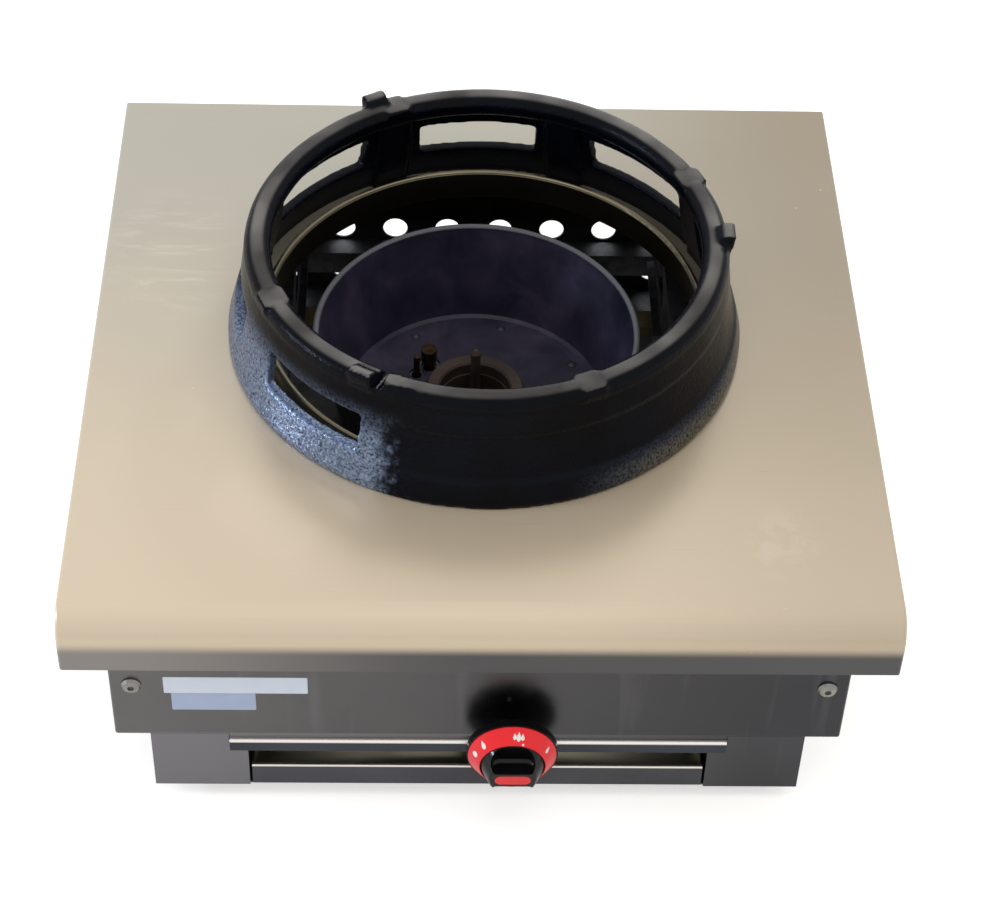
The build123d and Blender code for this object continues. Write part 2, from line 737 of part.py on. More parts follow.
def make_foot_screws():
    group = None
    for x in (-foot_x, foot_x):
        for y in (-foot_y, foot_y):
            floor = body_bottom + sheet
            screw = upright(3.0, x, y, 6.5, floor + 5)
            screw += Pos(x, y, floor) * extrude(RegularPolygon(5, 6, major_radius=False), amount=3.5)
            group = screw if group is None else group + screw
    return group


# ---- cast ring ----
def wall_section(outer_shift, inner_shift):
    """Flared wall of the ring, from the foot into the round rim."""
    foot, width = ring_foot_radius, ring_foot_width
    outer = ThreePointArc(
        (foot + outer_shift, 6), (foot - 7.2 + outer_shift, 34), (foot - 15.2 + outer_shift, 80),
    )
    inner = ThreePointArc(
        (foot - width - 15.2 + inner_shift, 80), (foot - width - 7.2 + inner_shift, 34),
        (foot - width + inner_shift, 6),
    )
    return make_face([
        outer, Line(outer @ 1, inner @ 0), inner,
        Line(inner @ 1, (foot - width + inner_shift, 0)),
        Line((foot - width + inner_shift, 0), (foot + outer_shift, 0)),
        Line((foot + outer_shift, 0), outer @ 0),
    ])


def sector(section, start, arc):
    """Part of a ring about Z from a section, starting at an angle from +X."""
    return Rot(0, 0, start) * revolve(Plane.XZ * section, Axis.Z, revolution_arc=arc)


def make_wok_ring():
    """Flared cast ring: round rim, five windows, pillars between them, three tall lugs, four flat lands."""
    ring = revolve(Plane.XZ * wall_section(0, 0), Axis.Z)
    ring += Pos(0, 0, ring_tube_height) * Torus(ring_tube_radius, ring_tube_section)
    for angle in pillar_angles:
        ring += sector(wall_section(-2.0, -pillar_extra), angle - pillar_arc / 2, pillar_arc)
    inside = Plane((150, 0, (window_low + window_high) / 2), x_dir=(0, 1, 0), z_dir=(1, 0, 0))
    window = inside * RectangleRounded(window_width, window_high - window_low, window_corner)
    for angle in window_angles:
        ring -= Rot(0, 0, angle) * extrude(window, amount=70)
    band = sector(wall_section(6.0, ring_foot_width - band_sink), band_from, band_to - band_from)
    band &= Pos(0, 0, (band_low + band_high) / 2) * Box(450, 450, band_high - band_low)
    ring -= band
    half = land_length / 2
    land = block(163.5, 185.5, -half, half, 84, land_height)
    over = block(160, 190, -half, half, land_height, 98)
    slot = block(160, 190, half - 3, half - 0.6, land_height - 2.5, 98)
    for angle, end in zip(land_angles, land_slots):
        turn = Rot(0, 0, angle)
        ring = ring + turn * land - turn * over
        ring -= turn * (slot if end > 0 else mirror(slot, Plane.XZ))
    lug_outline = Polyline(
        (165.5, 86), (166.5, 89.5), (180, 100), (184, 101), (188.5, 99), (187.5, 90), (183, 80), (174, 78),
        close=True,
    )
    lug = extrude(Plane.XZ * make_face(lug_outline), amount=lug_width / 2, both=True)
    for angle in lug_angles:
        ring += Rot(0, 0, angle) * lug
    notch_start = lug_width / 2
    notch = block(160, 190, notch_start, notch_start + lug_notch_width, lug_notch_low, 98)
    ring -= Rot(0, 0, lug_angles[2]) * notch
    return Pos(0, 0, top_z) * on_ring(ring)


front_web = panel_back + 41.0
rear_web = back_face - sheet - rail_flange

parts = {
    "worktop": make_worktop(),
    "opening_collar": make_collar(),
    "stiffener_right": make_stiffener(),
    "stiffener_left": mirrored(make_stiffener()),
    "front_fascia": make_fascia(),
    "front_post_right": make_front_post(),
    "front_post_left": mirrored(make_front_post()),
    "slot_lip": make_slot_lip(),
    "side_panel_right": make_side_panel(),
    "side_panel_left": mirrored(make_side_panel()),
    "back_panel": make_back_panel(),
    "base_plate": make_base_plate(),
    "fascia_bracket_right": make_fascia_bracket(),
    "fascia_bracket_left": mirrored(make_fascia_bracket()),
    "fascia_bolts": make_fascia_bolts(),
    "front_cross_rail": make_cross_rail(front_web, front_web - rail_flange, front_rail_top, front_rail_web),
    "rear_cross_rail": make_cross_rail(rear_web, rear_web + rail_flange, rear_rail_top, rear_rail_web),
    "burner_rail_right": make_burner_rail(1),
    "burner_rail_left": make_burner_rail(-1),
    "burner_plate": make_burner_plate(),
    "burner_body": make_burner_body(),
    "burner_screws": make_burner_screws(),
    "burner_cap": make_burner_cap(),
    "burner_bowl": make_bowl(),
    "pilot_burner": make_pilot(),
    "thermocouple": make_thermocouple(),
    "pilot_bracket": make_pilot_bracket(),
    "pilot_tube": make_pilot_tube(),
    "thermocouple_lead": make_thermocouple_lead(),
    "injector": make_injector(),
    "injector_holder": make_injector_holder(),
    "burner_pipe": make_burner_pipe(),
    "valve_body": make_valve_body(),
    "valve_bonnet": make_valve_bonnet(),
    "valve_screws": make_valve_screws(),
    "supply_pipe": make_supply_pipe(),
    "gas_inlet": make_gas_inlet(),
    "inlet_nut": make_inlet_nut(),
    "thrust_washer": make_thrust_washer(),
    "knob_spindle": make_spindle(),
    "knob_body": make_knob_body(),
    "knob_skirt": make_knob_skirt(),
    "knob_inlay": make_knob_inlay(),
    "drip_tray": make_tray(),
    "tray_runner_right": make_runner(),
    "tray_runner_left": mirrored(make_runner()),
    "feet": make_feet(),
    "foot_screws": make_foot_screws(),
    "wok_ring": make_wok_ring(),
}

os.makedirs("parts", exist_ok=True)
for node, part in parts.items():
    export_step(part, f"parts/{node}.step")
    print(node, round(part.volume / 1000, 1), "cm3")
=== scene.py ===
import bmesh
import bpy
import json
import math
from mathutils import Matrix, Vector, noise


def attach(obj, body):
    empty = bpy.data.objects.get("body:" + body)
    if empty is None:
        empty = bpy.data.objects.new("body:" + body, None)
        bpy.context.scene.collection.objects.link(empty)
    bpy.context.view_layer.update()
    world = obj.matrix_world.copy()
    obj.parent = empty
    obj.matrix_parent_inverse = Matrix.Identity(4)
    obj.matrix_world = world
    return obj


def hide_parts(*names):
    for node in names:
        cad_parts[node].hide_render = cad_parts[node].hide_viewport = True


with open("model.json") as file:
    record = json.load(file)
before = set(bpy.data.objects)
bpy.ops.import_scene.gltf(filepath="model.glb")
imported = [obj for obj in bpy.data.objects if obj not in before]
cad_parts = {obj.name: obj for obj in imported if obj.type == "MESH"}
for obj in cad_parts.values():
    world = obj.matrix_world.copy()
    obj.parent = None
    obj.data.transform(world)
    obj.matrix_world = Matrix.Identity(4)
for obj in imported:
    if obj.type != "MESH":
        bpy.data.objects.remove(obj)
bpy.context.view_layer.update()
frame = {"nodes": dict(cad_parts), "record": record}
nodes = frame["nodes"]
mm = 0.001
topZ = 0.210  # cooking surface, metres
ringCentre = (4.0, 18.0)  # mm, seen from above
smoothly = {"interpolation_type": "SMOOTHSTEP"}


def linear(hexText):
    # sRGB hex to the linear colour that sockets take
    parts = [int(hexText[i:i + 2], 16) / 255 for i in (1, 3, 5)]
    return tuple(c / 12.92 if c <= 0.04045 else ((c + 0.055) / 1.055) ** 2.4 for c in parts) + (1.0,)


def addNode(tree, kind, links=(), stops=(), **settings):
    # a node with its settings and what goes into its sockets, by name or number, or listed in their
    # order: a value, a colour as hex text, a socket, or another node for its first output
    node = tree.nodes.new(kind)
    for name, value in settings.items():
        setattr(node, name, value)
    for socket, value in links.items() if isinstance(links, dict) else enumerate(links):
        if isinstance(value, str) and value.startswith("#"):
            value = linear(value)
        if isinstance(value, bpy.types.Node):
            value = value.outputs[0]
        if isinstance(value, bpy.types.NodeSocket):
            tree.links.new(value, node.inputs[socket])
        else:
            node.inputs[socket].default_value = value
    for index, (place, colour) in enumerate(stops):
        ramp = node.color_ramp.elements
        stop = ramp[index] if index < len(ramp) else ramp.new(place)
        stop.position = place
        stop.color = linear(colour)
    return node


def newMaterial(name):
    material = bpy.data.materials.new(name)
    material.use_nodes = True
    tree = material.node_tree
    tree.nodes.clear()
    return material, tree, addNode(tree, "ShaderNodeTexCoord").outputs["Object"]


def finishMaterial(tree, shader):
    addNode(tree, "ShaderNodeOutputMaterial", {"Surface": shader})


def painted(tree, tone, *layers):
    # colours laid over a tone one after the other, each by its share
    for share, colour in layers:
        tone = addNode(tree, "ShaderNodeMix", {0: share, 6: tone, 7: colour}, data_type="RGBA").outputs[2]
    return tone


def patch(tree, place, centre, reach, core=0.35):
    # 1 in the middle of an upright oval column, 0 outside it; millimetres
    away = addNode(tree, "ShaderNodeVectorMath", [
        place, (centre[0] * mm, centre[1] * mm, 0)], operation="SUBTRACT")
    scaled = addNode(tree, "ShaderNodeVectorMath", [
        away, (1000 / reach[0], 1000 / reach[1], 0)], operation="MULTIPLY")
    length = addNode(tree, "ShaderNodeVectorMath", [scaled], operation="LENGTH").outputs["Value"]
    return addNode(tree, "ShaderNodeMapRange", [length, 1.0, core], **smoothly)


def upwardness(tree):
    # how far a face looks up
    facing = addNode(tree, "ShaderNodeTexCoord").outputs["Normal"]
    return addNode(tree, "ShaderNodeSeparateXYZ", [facing]).outputs[2]


def relief(tree, height, strength, depth, edge):
    # fine relief over slightly rounded edges; depth and edge radius in millimetres
    rounded = addNode(tree, "ShaderNodeBevel", {"Radius": edge * mm}, samples=4)
    return addNode(tree, "ShaderNodeBump", {
        "Strength": strength, "Distance": depth * mm, "Height": height, "Normal": rounded})


def inScene(name, data):
    made = bpy.data.objects.new(name, data)
    bpy.context.scene.collection.objects.link(made)
    return made


def newPiece(name, mesh, body, material=None, smooth=True):
    piece = inScene(name, mesh)
    if material:
        mesh.materials.clear()
        mesh.materials.append(material)
    if smooth:
        mesh.shade_smooth()
    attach(piece, body)
    return piece


def applied(piece):
    # the evaluated object as a plain mesh
    bpy.context.view_layer.update()
    graph = bpy.context.evaluated_depsgraph_get()
    return bpy.data.meshes.new_from_object(piece.evaluated_get(graph))


def meshFrom(name, points, faces):
    # points in millimetres
    mesh = bpy.data.meshes.new(name)
    mesh.from_pydata([tuple(c * mm for c in point) for point in points], [], faces)
    shell = bmesh.new()
    shell.from_mesh(mesh)
    bmesh.ops.remove_doubles(shell, verts=shell.verts, dist=0.001 * mm)
    bmesh.ops.recalc_face_normals(shell, faces=shell.faces)
    shell.to_mesh(mesh)
    shell.free()
    return mesh


# 304 stainless sheet, brushed at the mill: satin, with fine lines one way
sheet = {
    "grainAcross": 0.35, "grainAlong": 90.0,  # mm; a coarser stand-in for 0.05 mm brushing lines
    "lineStrength": 0.12, "lineDepth": 0.02, "edgeRadius": 0.7,  # mm
    "lineRamp": (0.3, 0.7), "smoother": 0.06, "rougher": 0.08, "anisotropy": 0.35,
    "cloudSize": 160.0,  # mm
}


def steelGrain(tree, place):
    # long thin noise: the brushing lines
    across, along = 1000 / sheet["grainAcross"], 1000 / sheet["grainAlong"]
    lines = addNode(tree, "ShaderNodeMapping", {"Vector": place, "Scale": (along, across, across)})
    return addNode(tree, "ShaderNodeTexNoise", {"Vector": lines, "Scale": 1.0, "Detail": 3.0})


def lined(tree, grain, tone, darkest=0.95):
    # the tone with its brushing lines a little darker
    shade = addNode(tree, "ShaderNodeMapRange", [grain, *sheet["lineRamp"], darkest, 1.0])
    return addNode(tree, "ShaderNodeMix", {0: 1.0, 6: tone, 7: shade},
                   data_type="RGBA", blend_type="MULTIPLY").outputs[2]


def satin(tree, grain, roughness):
    # roughness that follows the brushing lines
    return addNode(tree, "ShaderNodeMapRange", [
        grain, 0.0, 1.0, roughness - sheet["smoother"], roughness + sheet["rougher"]])


def finishSteel(tree, grain, tone, rough, mirror=1.0):
    normal = relief(tree, grain, sheet["lineStrength"], sheet["lineDepth"], sheet["edgeRadius"])
    finishMaterial(tree, addNode(tree, "ShaderNodeBsdfPrincipled", {
        "Base Color": tone, "Metallic": mirror, "Roughness": rough,
        "Anisotropic": sheet["anisotropy"], "Normal": normal}))


collarLook = {
    "dark": (0.32, "#7A725F"), "light": (0.68, "#938A74"), "roughness": 0.3,
    "smear": "#A29983", "smearShare": 0.2, "smearSize": 42.0, "smearRamp": (0.52, 0.66),  # mm
    "areaScale": 6.5, "areaRamp": (0.5, 0.62),  # per metre
}


def collarSteelMaterial():
    # the sheet after spinning, with handling smears that catch more light and soft clouds where it was
    # wiped
    look = collarLook
    material, tree, place = newMaterial("spunCollarSteel")
    grain = steelGrain(tree, place)
    cloud = addNode(tree, "ShaderNodeTexNoise", {
        "Vector": place, "Scale": 1000 / sheet["cloudSize"], "Detail": 2.0, "Distortion": 0.4})
    smear = addNode(tree, "ShaderNodeTexNoise", {
        "Vector": place, "Scale": 1000 / look["smearSize"], "Detail": 5.0, "Roughness": 0.62,
        "Distortion": 1.4})
    area = addNode(tree, "ShaderNodeTexNoise", {"Vector": place, "Scale": look["areaScale"], "Detail": 1.0})
    smears = addNode(tree, "ShaderNodeMath", [
        addNode(tree, "ShaderNodeMapRange", [smear, *look["smearRamp"]], **smoothly),
        addNode(tree, "ShaderNodeMapRange", [area, *look["areaRamp"]], **smoothly)], operation="MULTIPLY")
    share = addNode(tree, "ShaderNodeMath", [smears, look["smearShare"]], operation="MULTIPLY")
    base = addNode(tree, "ShaderNodeValToRGB", [cloud], stops=[look["dark"], look["light"]])
    tone = painted(tree, lined(tree, grain, base), (share, look["smear"]))
    finishSteel(tree, grain, tone, satin(tree, grain, look["roughness"]))
    return material


worktopLook = {
    "front": "#D7C7AF", "back": "#B9B5A8", "drift": 0.16, "backRamp": (-0.16, 0.34),  # m
    "right": "#A39682", "rightRamp": (0.03, 0.30), "rightByDepth": (-0.25, 0.3, 0.4, 0.95),
    "darkestLine": 0.965,
    "wipe": "#E0D9CB", "wipeShare": 0.42, "wipeAt": (-250, 100), "wipeReach": (70, 95),  # mm
    "wipeStretch": (0.55, 2.4, 1.0), "wipeTurn": -9, "wipeSize": 52.0, "wipeRamp": (0.44, 0.7),
    "wipeDulls": 0.16,
    "palm": "#DDD2C1", "palmShare": 0.2, "palmAt": (216, -212), "palmReach": (36, 44),
    "palmSize": 15.0, "palmRamp": (0.4, 0.7),
    "speck": "#F2EFE8", "speckShare": 0.35, "speckSpacing": 24.0,
    "speckEdge": (0.05, 0.03), "speckChoice": (0.88, 0.9),
    # painted shade on the rolled front edge's lower part, lighter at the left
    "noseLeft": "#8B8683", "noseRight": "#4E4E50", "noseAcross": (-0.28, 0.0),  # m
    "noseDown": (topZ - 21 * mm, topZ - 33 * mm), "noseForward": (-0.262, -0.272),
    "roughness": 0.3, "mirror": 0.42,
}


def worktopSteelMaterial():
    # the same sheet after years of wiping: wiped swirls at the left, a palm's smudge at the right front and
    # dried specks; painted reflection makes it paler and warmer towards the cook, and painted shade darkens
    # the rolled front edge below
    look = worktopLook
    material, tree, place = newMaterial("wipedWorktopSteel")
    grain = steelGrain(tree, place)
    x, y, z = addNode(tree, "ShaderNodeSeparateXYZ", [place]).outputs
    cloud = addNode(tree, "ShaderNodeTexNoise", {
        "Vector": place, "Scale": 1000 / sheet["cloudSize"], "Detail": 3.0, "Distortion": 0.6})
    # painted reflection: greyer towards the back, paler and warmer towards the front
    drift = addNode(tree, "ShaderNodeMath", [cloud, look["drift"], y], operation="MULTIPLY_ADD")
    backward = addNode(tree, "ShaderNodeMapRange", [drift, *look["backRamp"]], **smoothly)
    # darker towards the right back
    rightward = addNode(tree, "ShaderNodeMath", [
        addNode(tree, "ShaderNodeMapRange", [x, *look["rightRamp"]], **smoothly),
        addNode(tree, "ShaderNodeMapRange", [y, *look["rightByDepth"]])], operation="MULTIPLY")
    wide = addNode(tree, "ShaderNodeMapping", {
        "Vector": place, "Scale": look["wipeStretch"], "Rotation": (0, 0, math.radians(look["wipeTurn"]))})
    swirl = addNode(tree, "ShaderNodeTexNoise", {
        "Vector": wide, "Scale": 1000 / look["wipeSize"], "Detail": 6.0, "Roughness": 0.66,
        "Distortion": 1.6})
    wiped = addNode(tree, "ShaderNodeMath", [
        addNode(tree, "ShaderNodeMapRange", [swirl, *look["wipeRamp"]], **smoothly),
        patch(tree, place, look["wipeAt"], look["wipeReach"])], operation="MULTIPLY")
    dab = addNode(tree, "ShaderNodeTexNoise", {
        "Vector": place, "Scale": 1000 / look["palmSize"], "Detail": 3.0, "Distortion": 1.2})
    palm = addNode(tree, "ShaderNodeMath", [
        addNode(tree, "ShaderNodeMapRange", [dab, *look["palmRamp"]], **smoothly),
        patch(tree, place, look["palmAt"], look["palmReach"])], operation="MULTIPLY")
    cells = addNode(tree, "ShaderNodeTexVoronoi", {"Vector": place, "Scale": 1000 / look["speckSpacing"]})
    chosen = addNode(tree, "ShaderNodeSeparateColor", [cells.outputs["Color"]])
    specks = addNode(tree, "ShaderNodeMath", [
        addNode(tree, "ShaderNodeMapRange", [cells.outputs["Distance"], *look["speckEdge"]]),
        addNode(tree, "ShaderNodeMapRange", [chosen, *look["speckChoice"]])], operation="MULTIPLY")
    # painted shade: the rolled front edge darker below, lighter at the left than at the right
    noseShade = addNode(tree, "ShaderNodeMath", [
        addNode(tree, "ShaderNodeMapRange", [z, *look["noseDown"]], **smoothly),
        addNode(tree, "ShaderNodeMapRange", [y, *look["noseForward"]])], operation="MULTIPLY")
    noseAcross = addNode(tree, "ShaderNodeMapRange", [x, *look["noseAcross"]], **smoothly)
    tone = painted(tree, look["front"], (backward, look["back"]), (rightward, look["right"]))
    tone = lined(tree, grain, tone, look["darkestLine"])
    for spots, share, colour in ((wiped, look["wipeShare"], look["wipe"]),
                                 (palm, look["palmShare"], look["palm"]),
                                 (specks, look["speckShare"], look["speck"])):
        faded = addNode(tree, "ShaderNodeMath", [spots, share], operation="MULTIPLY")
        tone = painted(tree, tone, (faded, colour))
    tone = painted(tree, tone, (noseShade, painted(tree, look["noseLeft"], (noseAcross, look["noseRight"]))))
    rough = addNode(tree, "ShaderNodeMath", [
        wiped, look["wipeDulls"], satin(tree, grain, look["roughness"])], operation="MULTIPLY_ADD")
    finishSteel(tree, grain, tone, rough, look["mirror"])
    return material


panelLook = {
    # left to right: painted reflection, lighter at the left
    "left": "#6A6969", "right": "#3C3C3F", "across": (-0.25, 0.24),  # m
    "low": "#4C4D52", "lowSize": 120.0, "lowRamp": (0.35, 0.75, 0.0, 0.35),  # mm
    "streak": "#8C8C8E", "streakScale": (60, 60, 4), "streakRamp": (0.6, 0.75, 0.0, 0.14),
    "post": "#77767A", "postDown": (topZ - 132.5 * mm, topZ - 132.5 * mm - mm),
    "postAcross": (-0.2, 0.2, 1.0, 0.12), "postForward": (-0.25, -0.26),  # m
    "roughness": 0.28, "markRoughness": 0.05, "markSize": 11.0, "markRamp": (0.45, 0.75),  # mm
}


def panelSteelMaterial():
    # the body's sheets have a brighter, smoother finish that mirrors softly, with faint upright
    # streaks and finger marks; painted reflection makes them lighter at the left and on the posts
    look = panelLook
    material, tree, place = newMaterial("smoothPanelSteel")
    grain = steelGrain(tree, place)
    x, y, z = addNode(tree, "ShaderNodeSeparateXYZ", [place]).outputs
    cloud = addNode(tree, "ShaderNodeTexNoise", {
        "Vector": place, "Scale": 1000 / look["lowSize"], "Detail": 3.0, "Distortion": 0.5})
    upright = addNode(tree, "ShaderNodeMapping", {"Vector": place, "Scale": look["streakScale"]})
    streak = addNode(tree, "ShaderNodeTexNoise", {"Vector": upright, "Scale": 1.0, "Detail": 2.0})
    # painted reflection: the two posts under the control panel are paler, the left one most
    post = addNode(tree, "ShaderNodeMath", [
        addNode(tree, "ShaderNodeMapRange", [z, *look["postDown"]]),
        addNode(tree, "ShaderNodeMapRange", [x, *look["postAcross"]])], operation="MULTIPLY")
    post = addNode(tree, "ShaderNodeMath", [
        post, addNode(tree, "ShaderNodeMapRange", [y, *look["postForward"]])], operation="MULTIPLY")
    tone = painted(
        tree, look["left"],
        (addNode(tree, "ShaderNodeMapRange", [x, *look["across"]]), look["right"]),
        (addNode(tree, "ShaderNodeMapRange", [cloud, *look["lowRamp"]]), look["low"]),
        (addNode(tree, "ShaderNodeMapRange", [streak, *look["streakRamp"]]), look["streak"]),
        (post, look["post"]))
    marks = addNode(tree, "ShaderNodeTexNoise", {
        "Vector": place, "Scale": 1000 / look["markSize"], "Detail": 4.0, "Distortion": 1.0})
    rough = addNode(tree, "ShaderNodeMapRange", [
        marks, *look["markRamp"], look["roughness"], look["roughness"] + look["markRoughness"]])
    finishSteel(tree, grain, lined(tree, grain, tone), rough)
    return material


folded = {"cloudSize": 90.0, "cloudRamp": (0.35, 0.7), "foldRamp": (0.25, 0.6)}  # mm
# fold: the colour of a painted highlight along the upper fold
trayLook = {
    "face": "#54555A", "faceDark": "#494A4F", "fold": "#EDE6DC", "inside": "#A29B88",
    "insideFrom": -0.2792, "roughness": 0.3,  # m
}
lipLook = {
    "face": "#42464D", "faceDark": "#393C42", "fold": "#F2ECE6", "inside": "#42464D",
    "insideFrom": -0.2835, "roughness": 0.24,  # m
}


def foldedSteel(name, look):
    # panel sheet with a painted highlight along its upper fold
    material, tree, place = newMaterial(name)
    grain = steelGrain(tree, place)
    y = addNode(tree, "ShaderNodeSeparateXYZ", [place]).outputs[1]
    outer, inner = look["insideFrom"] - mm, look["insideFrom"]
    cloud = addNode(tree, "ShaderNodeTexNoise", {
        "Vector": place, "Scale": 1000 / folded["cloudSize"], "Detail": 3.0})
    # painted highlight on the upward-facing fold
    fold = addNode(tree, "ShaderNodeMath", [
        addNode(tree, "ShaderNodeMapRange", [upwardness(tree), *folded["foldRamp"]], **smoothly),
        addNode(tree, "ShaderNodeMapRange", [y, inner, outer])], operation="MULTIPLY")
    tone = painted(
        tree, look["face"],
        (addNode(tree, "ShaderNodeMapRange", [cloud, *folded["cloudRamp"]]), look["faceDark"]),
        (addNode(tree, "ShaderNodeMapRange", [y, outer, inner]), look["inside"]),
        (fold, look["fold"]))
    finishSteel(tree, grain, lined(tree, grain, tone), satin(tree, grain, look["roughness"]))
    return material


worktopSteel = worktopSteelMaterial()
panelSteel = panelSteelMaterial()
collarSteel = collarSteelMaterial()
traySteel = foldedSteel("pressedTraySteel", trayLook)
lipSteel = foldedSteel("foldedLipSteel", lipLook)

castSkin = {
    "waveSize": 9.0, "waveStrength": 0.55, "waveDepth": 0.5, "areaSize": 60.0,  # mm
    "areaRamp": (0.35, 0.7), "smoother": 0.08, "rougher": 0.12, "coatRoughness": 0.07,
    "bite": 0.8, "rubbedBite": (0.0, 0.6, 0.8, 0.2),  # strength of the sand grain, less where rubbed
}
ringLook = {
    "colour": "#030409", "paler": "#060A15", "grit": 2.1, "gritDepth": 0.5,  # mm
    "roughness": 0.17, "gloss": 0.03, "coat": 0.1,
    # rim: rubbed iron whose tone also paints the highlight along the top of the tube
    "rim": "#787572", "rimHeight": (topZ + 80 * mm, topZ + 88 * mm), "rimUpward": (0.8, 1.0),
    "rimPatches": (0.36, 0.64, 0.3, 1.0),
    # sheen and faint: painted sheen on the skirt's grains, bluish at the left, grey low down at the right
    # degrees run round from the front towards the left
    "sheen": "#9AAED2", "sheenFrom": (26.0, 34.0), "raggedness": 13.0, "sheenTo": (112.0, 60.0),
    "sheenTop": (topZ + 74 * mm, topZ + 30 * mm), "sheenGrain": (0.3, 0.68),
    "faint": "#A8A296", "faintFrom": (-16.0, -42.0), "faintTo": (-112.0, -78.0),
    "faintTop": (topZ + 27 * mm, topZ + 9 * mm), "faintShare": 0.34,
}
burnerLook = {
    "colour": "#2A211D", "paler": "#463A33", "grit": 1.4, "gritDepth": 0.2,  # mm
    "roughness": 0.58, "gloss": 0.3, "coat": 0.0,
}


def wearAndSheenPlaces(tree, place, sand, coarse, area, look):
    # where iron shows through on the top of the rim, which woks rub, its tone also a painted highlight along
    # the tube; and a painted sheen on the skirt's grains at the left and, more faintly, low down at the
    # right
    x, y, z = addNode(tree, "ShaderNodeSeparateXYZ", [place]).outputs
    rubbedAndHighlit = addNode(tree, "ShaderNodeMath", [
        addNode(tree, "ShaderNodeMapRange", [upwardness(tree), *look["rimUpward"]], **smoothly),
        addNode(tree, "ShaderNodeMapRange", [z, *look["rimHeight"]])], operation="MULTIPLY")
    rubbedAndHighlit = addNode(tree, "ShaderNodeMath", [
        rubbedAndHighlit, addNode(tree, "ShaderNodeMapRange", [area, *look["rimPatches"]])], operation="MULTIPLY")
    leftward = addNode(tree, "ShaderNodeMath", [ringCentre[0] * mm, x], operation="SUBTRACT")
    frontward = addNode(tree, "ShaderNodeMath", [ringCentre[1] * mm, y], operation="SUBTRACT")
    turn = addNode(tree, "ShaderNodeMath", [leftward, frontward], operation="ARCTAN2")
    ragged = addNode(tree, "ShaderNodeMath", [
        coarse, math.radians(look["raggedness"]), turn], operation="MULTIPLY_ADD")
    sides = [addNode(tree, "ShaderNodeMapRange", [value, *map(math.radians, look[key])], **smoothly)
             for value, key in ((ragged, "sheenFrom"), (turn, "sheenTo"),
                                (turn, "faintFrom"), (turn, "faintTo"))]
    low = [addNode(tree, "ShaderNodeMapRange", [z, *look[key]], **smoothly)
           for key in ("sheenTop", "faintTop")]
    sheen = addNode(tree, "ShaderNodeMath", sides[:2], operation="MULTIPLY")
    sheen = addNode(tree, "ShaderNodeMath", [sheen, low[0]], operation="MULTIPLY")
    faint = addNode(tree, "ShaderNodeMath", [sides[2], low[1]], operation="MULTIPLY")
    faint = addNode(tree, "ShaderNodeMath", [faint, sides[3]], operation="MULTIPLY")
    weak = addNode(tree, "ShaderNodeMath", [faint, look["faintShare"]], operation="MULTIPLY")
    either = addNode(tree, "ShaderNodeMath", [sheen, weak], operation="MAXIMUM")
    # painted sheen on the grains
    bare = addNode(tree, "ShaderNodeMath", [
        either, addNode(tree, "ShaderNodeMapRange", [sand, *look["sheenGrain"]])], operation="MULTIPLY")
    return rubbedAndHighlit, bare, painted(tree, look["sheen"], (faint, look["faint"]))


def castIron(name, look):
    # sand-cast iron under baked black enamel: black and wet-looking, with the mould's sand grain
    # showing through and slow waves in the skin
    material, tree, place = newMaterial(name)
    sand = addNode(tree, "ShaderNodeTexNoise", {
        "Vector": place, "Scale": 1000 / look["grit"], "Detail": 3.0, "Roughness": 0.6})
    coarse = addNode(tree, "ShaderNodeTexNoise", {
        "Vector": place, "Scale": 1000 / castSkin["waveSize"], "Detail": 4.0})
    area = addNode(tree, "ShaderNodeTexNoise", {
        "Vector": place, "Scale": 1000 / castSkin["areaSize"], "Detail": 2.0})
    paler = addNode(tree, "ShaderNodeMapRange", [area, *castSkin["areaRamp"]])
    tone = painted(tree, look["colour"], (paler, look["paler"]))
    rough = addNode(tree, "ShaderNodeMapRange", [
        coarse, 0.0, 1.0, look["roughness"] - castSkin["smoother"], look["roughness"] + castSkin["rougher"]])
    metal, bite = 0.0, castSkin["bite"]
    # the rim's rubbed iron with its painted highlight, and the painted sheen, both as patches of metal
    if "rim" in look:
        rubbedAndHighlit, bare, sheenTone = wearAndSheenPlaces(tree, place, sand, coarse, area, look)
        tone = painted(tree, tone, (rubbedAndHighlit, look["rim"]), (bare, sheenTone))
        metal = addNode(tree, "ShaderNodeMath", [rubbedAndHighlit, bare], operation="MAXIMUM")
        bite = addNode(tree, "ShaderNodeMapRange", [rubbedAndHighlit, *castSkin["rubbedBite"]])
    waves = addNode(tree, "ShaderNodeBump", {
        "Strength": castSkin["waveStrength"], "Distance": castSkin["waveDepth"] * mm, "Height": coarse})
    bump = addNode(tree, "ShaderNodeBump", {
        "Strength": bite, "Distance": look["gritDepth"] * mm, "Height": sand, "Normal": waves})
    finishMaterial(tree, addNode(tree, "ShaderNodeBsdfPrincipled", {
        "Base Color": tone, "Metallic": metal, "Roughness": rough, "Normal": bump,
        "Specular IOR Level": look["gloss"],
        "Coat Weight": look["coat"], "Coat Roughness": castSkin["coatRoughness"], "Coat Normal": bump}))
    return material


bowlLook = {
    # haze: purple-grey tones, a painted glow of the flames
    "haze": [(0.3, "#1A1A2A"), (0.5, "#292637"), (0.75, "#3D384D")], "hazeSize": 45.0,  # mm
    "bead": "#595B62", "beadHeight": (topZ - 7.6 * mm, topZ - 6.4 * mm),
    "roughness": (0.3, 0.55), "gloss": 0.45, "speckSize": 1.2, "speckStrength": 0.25, "speckDepth": 0.1,
}


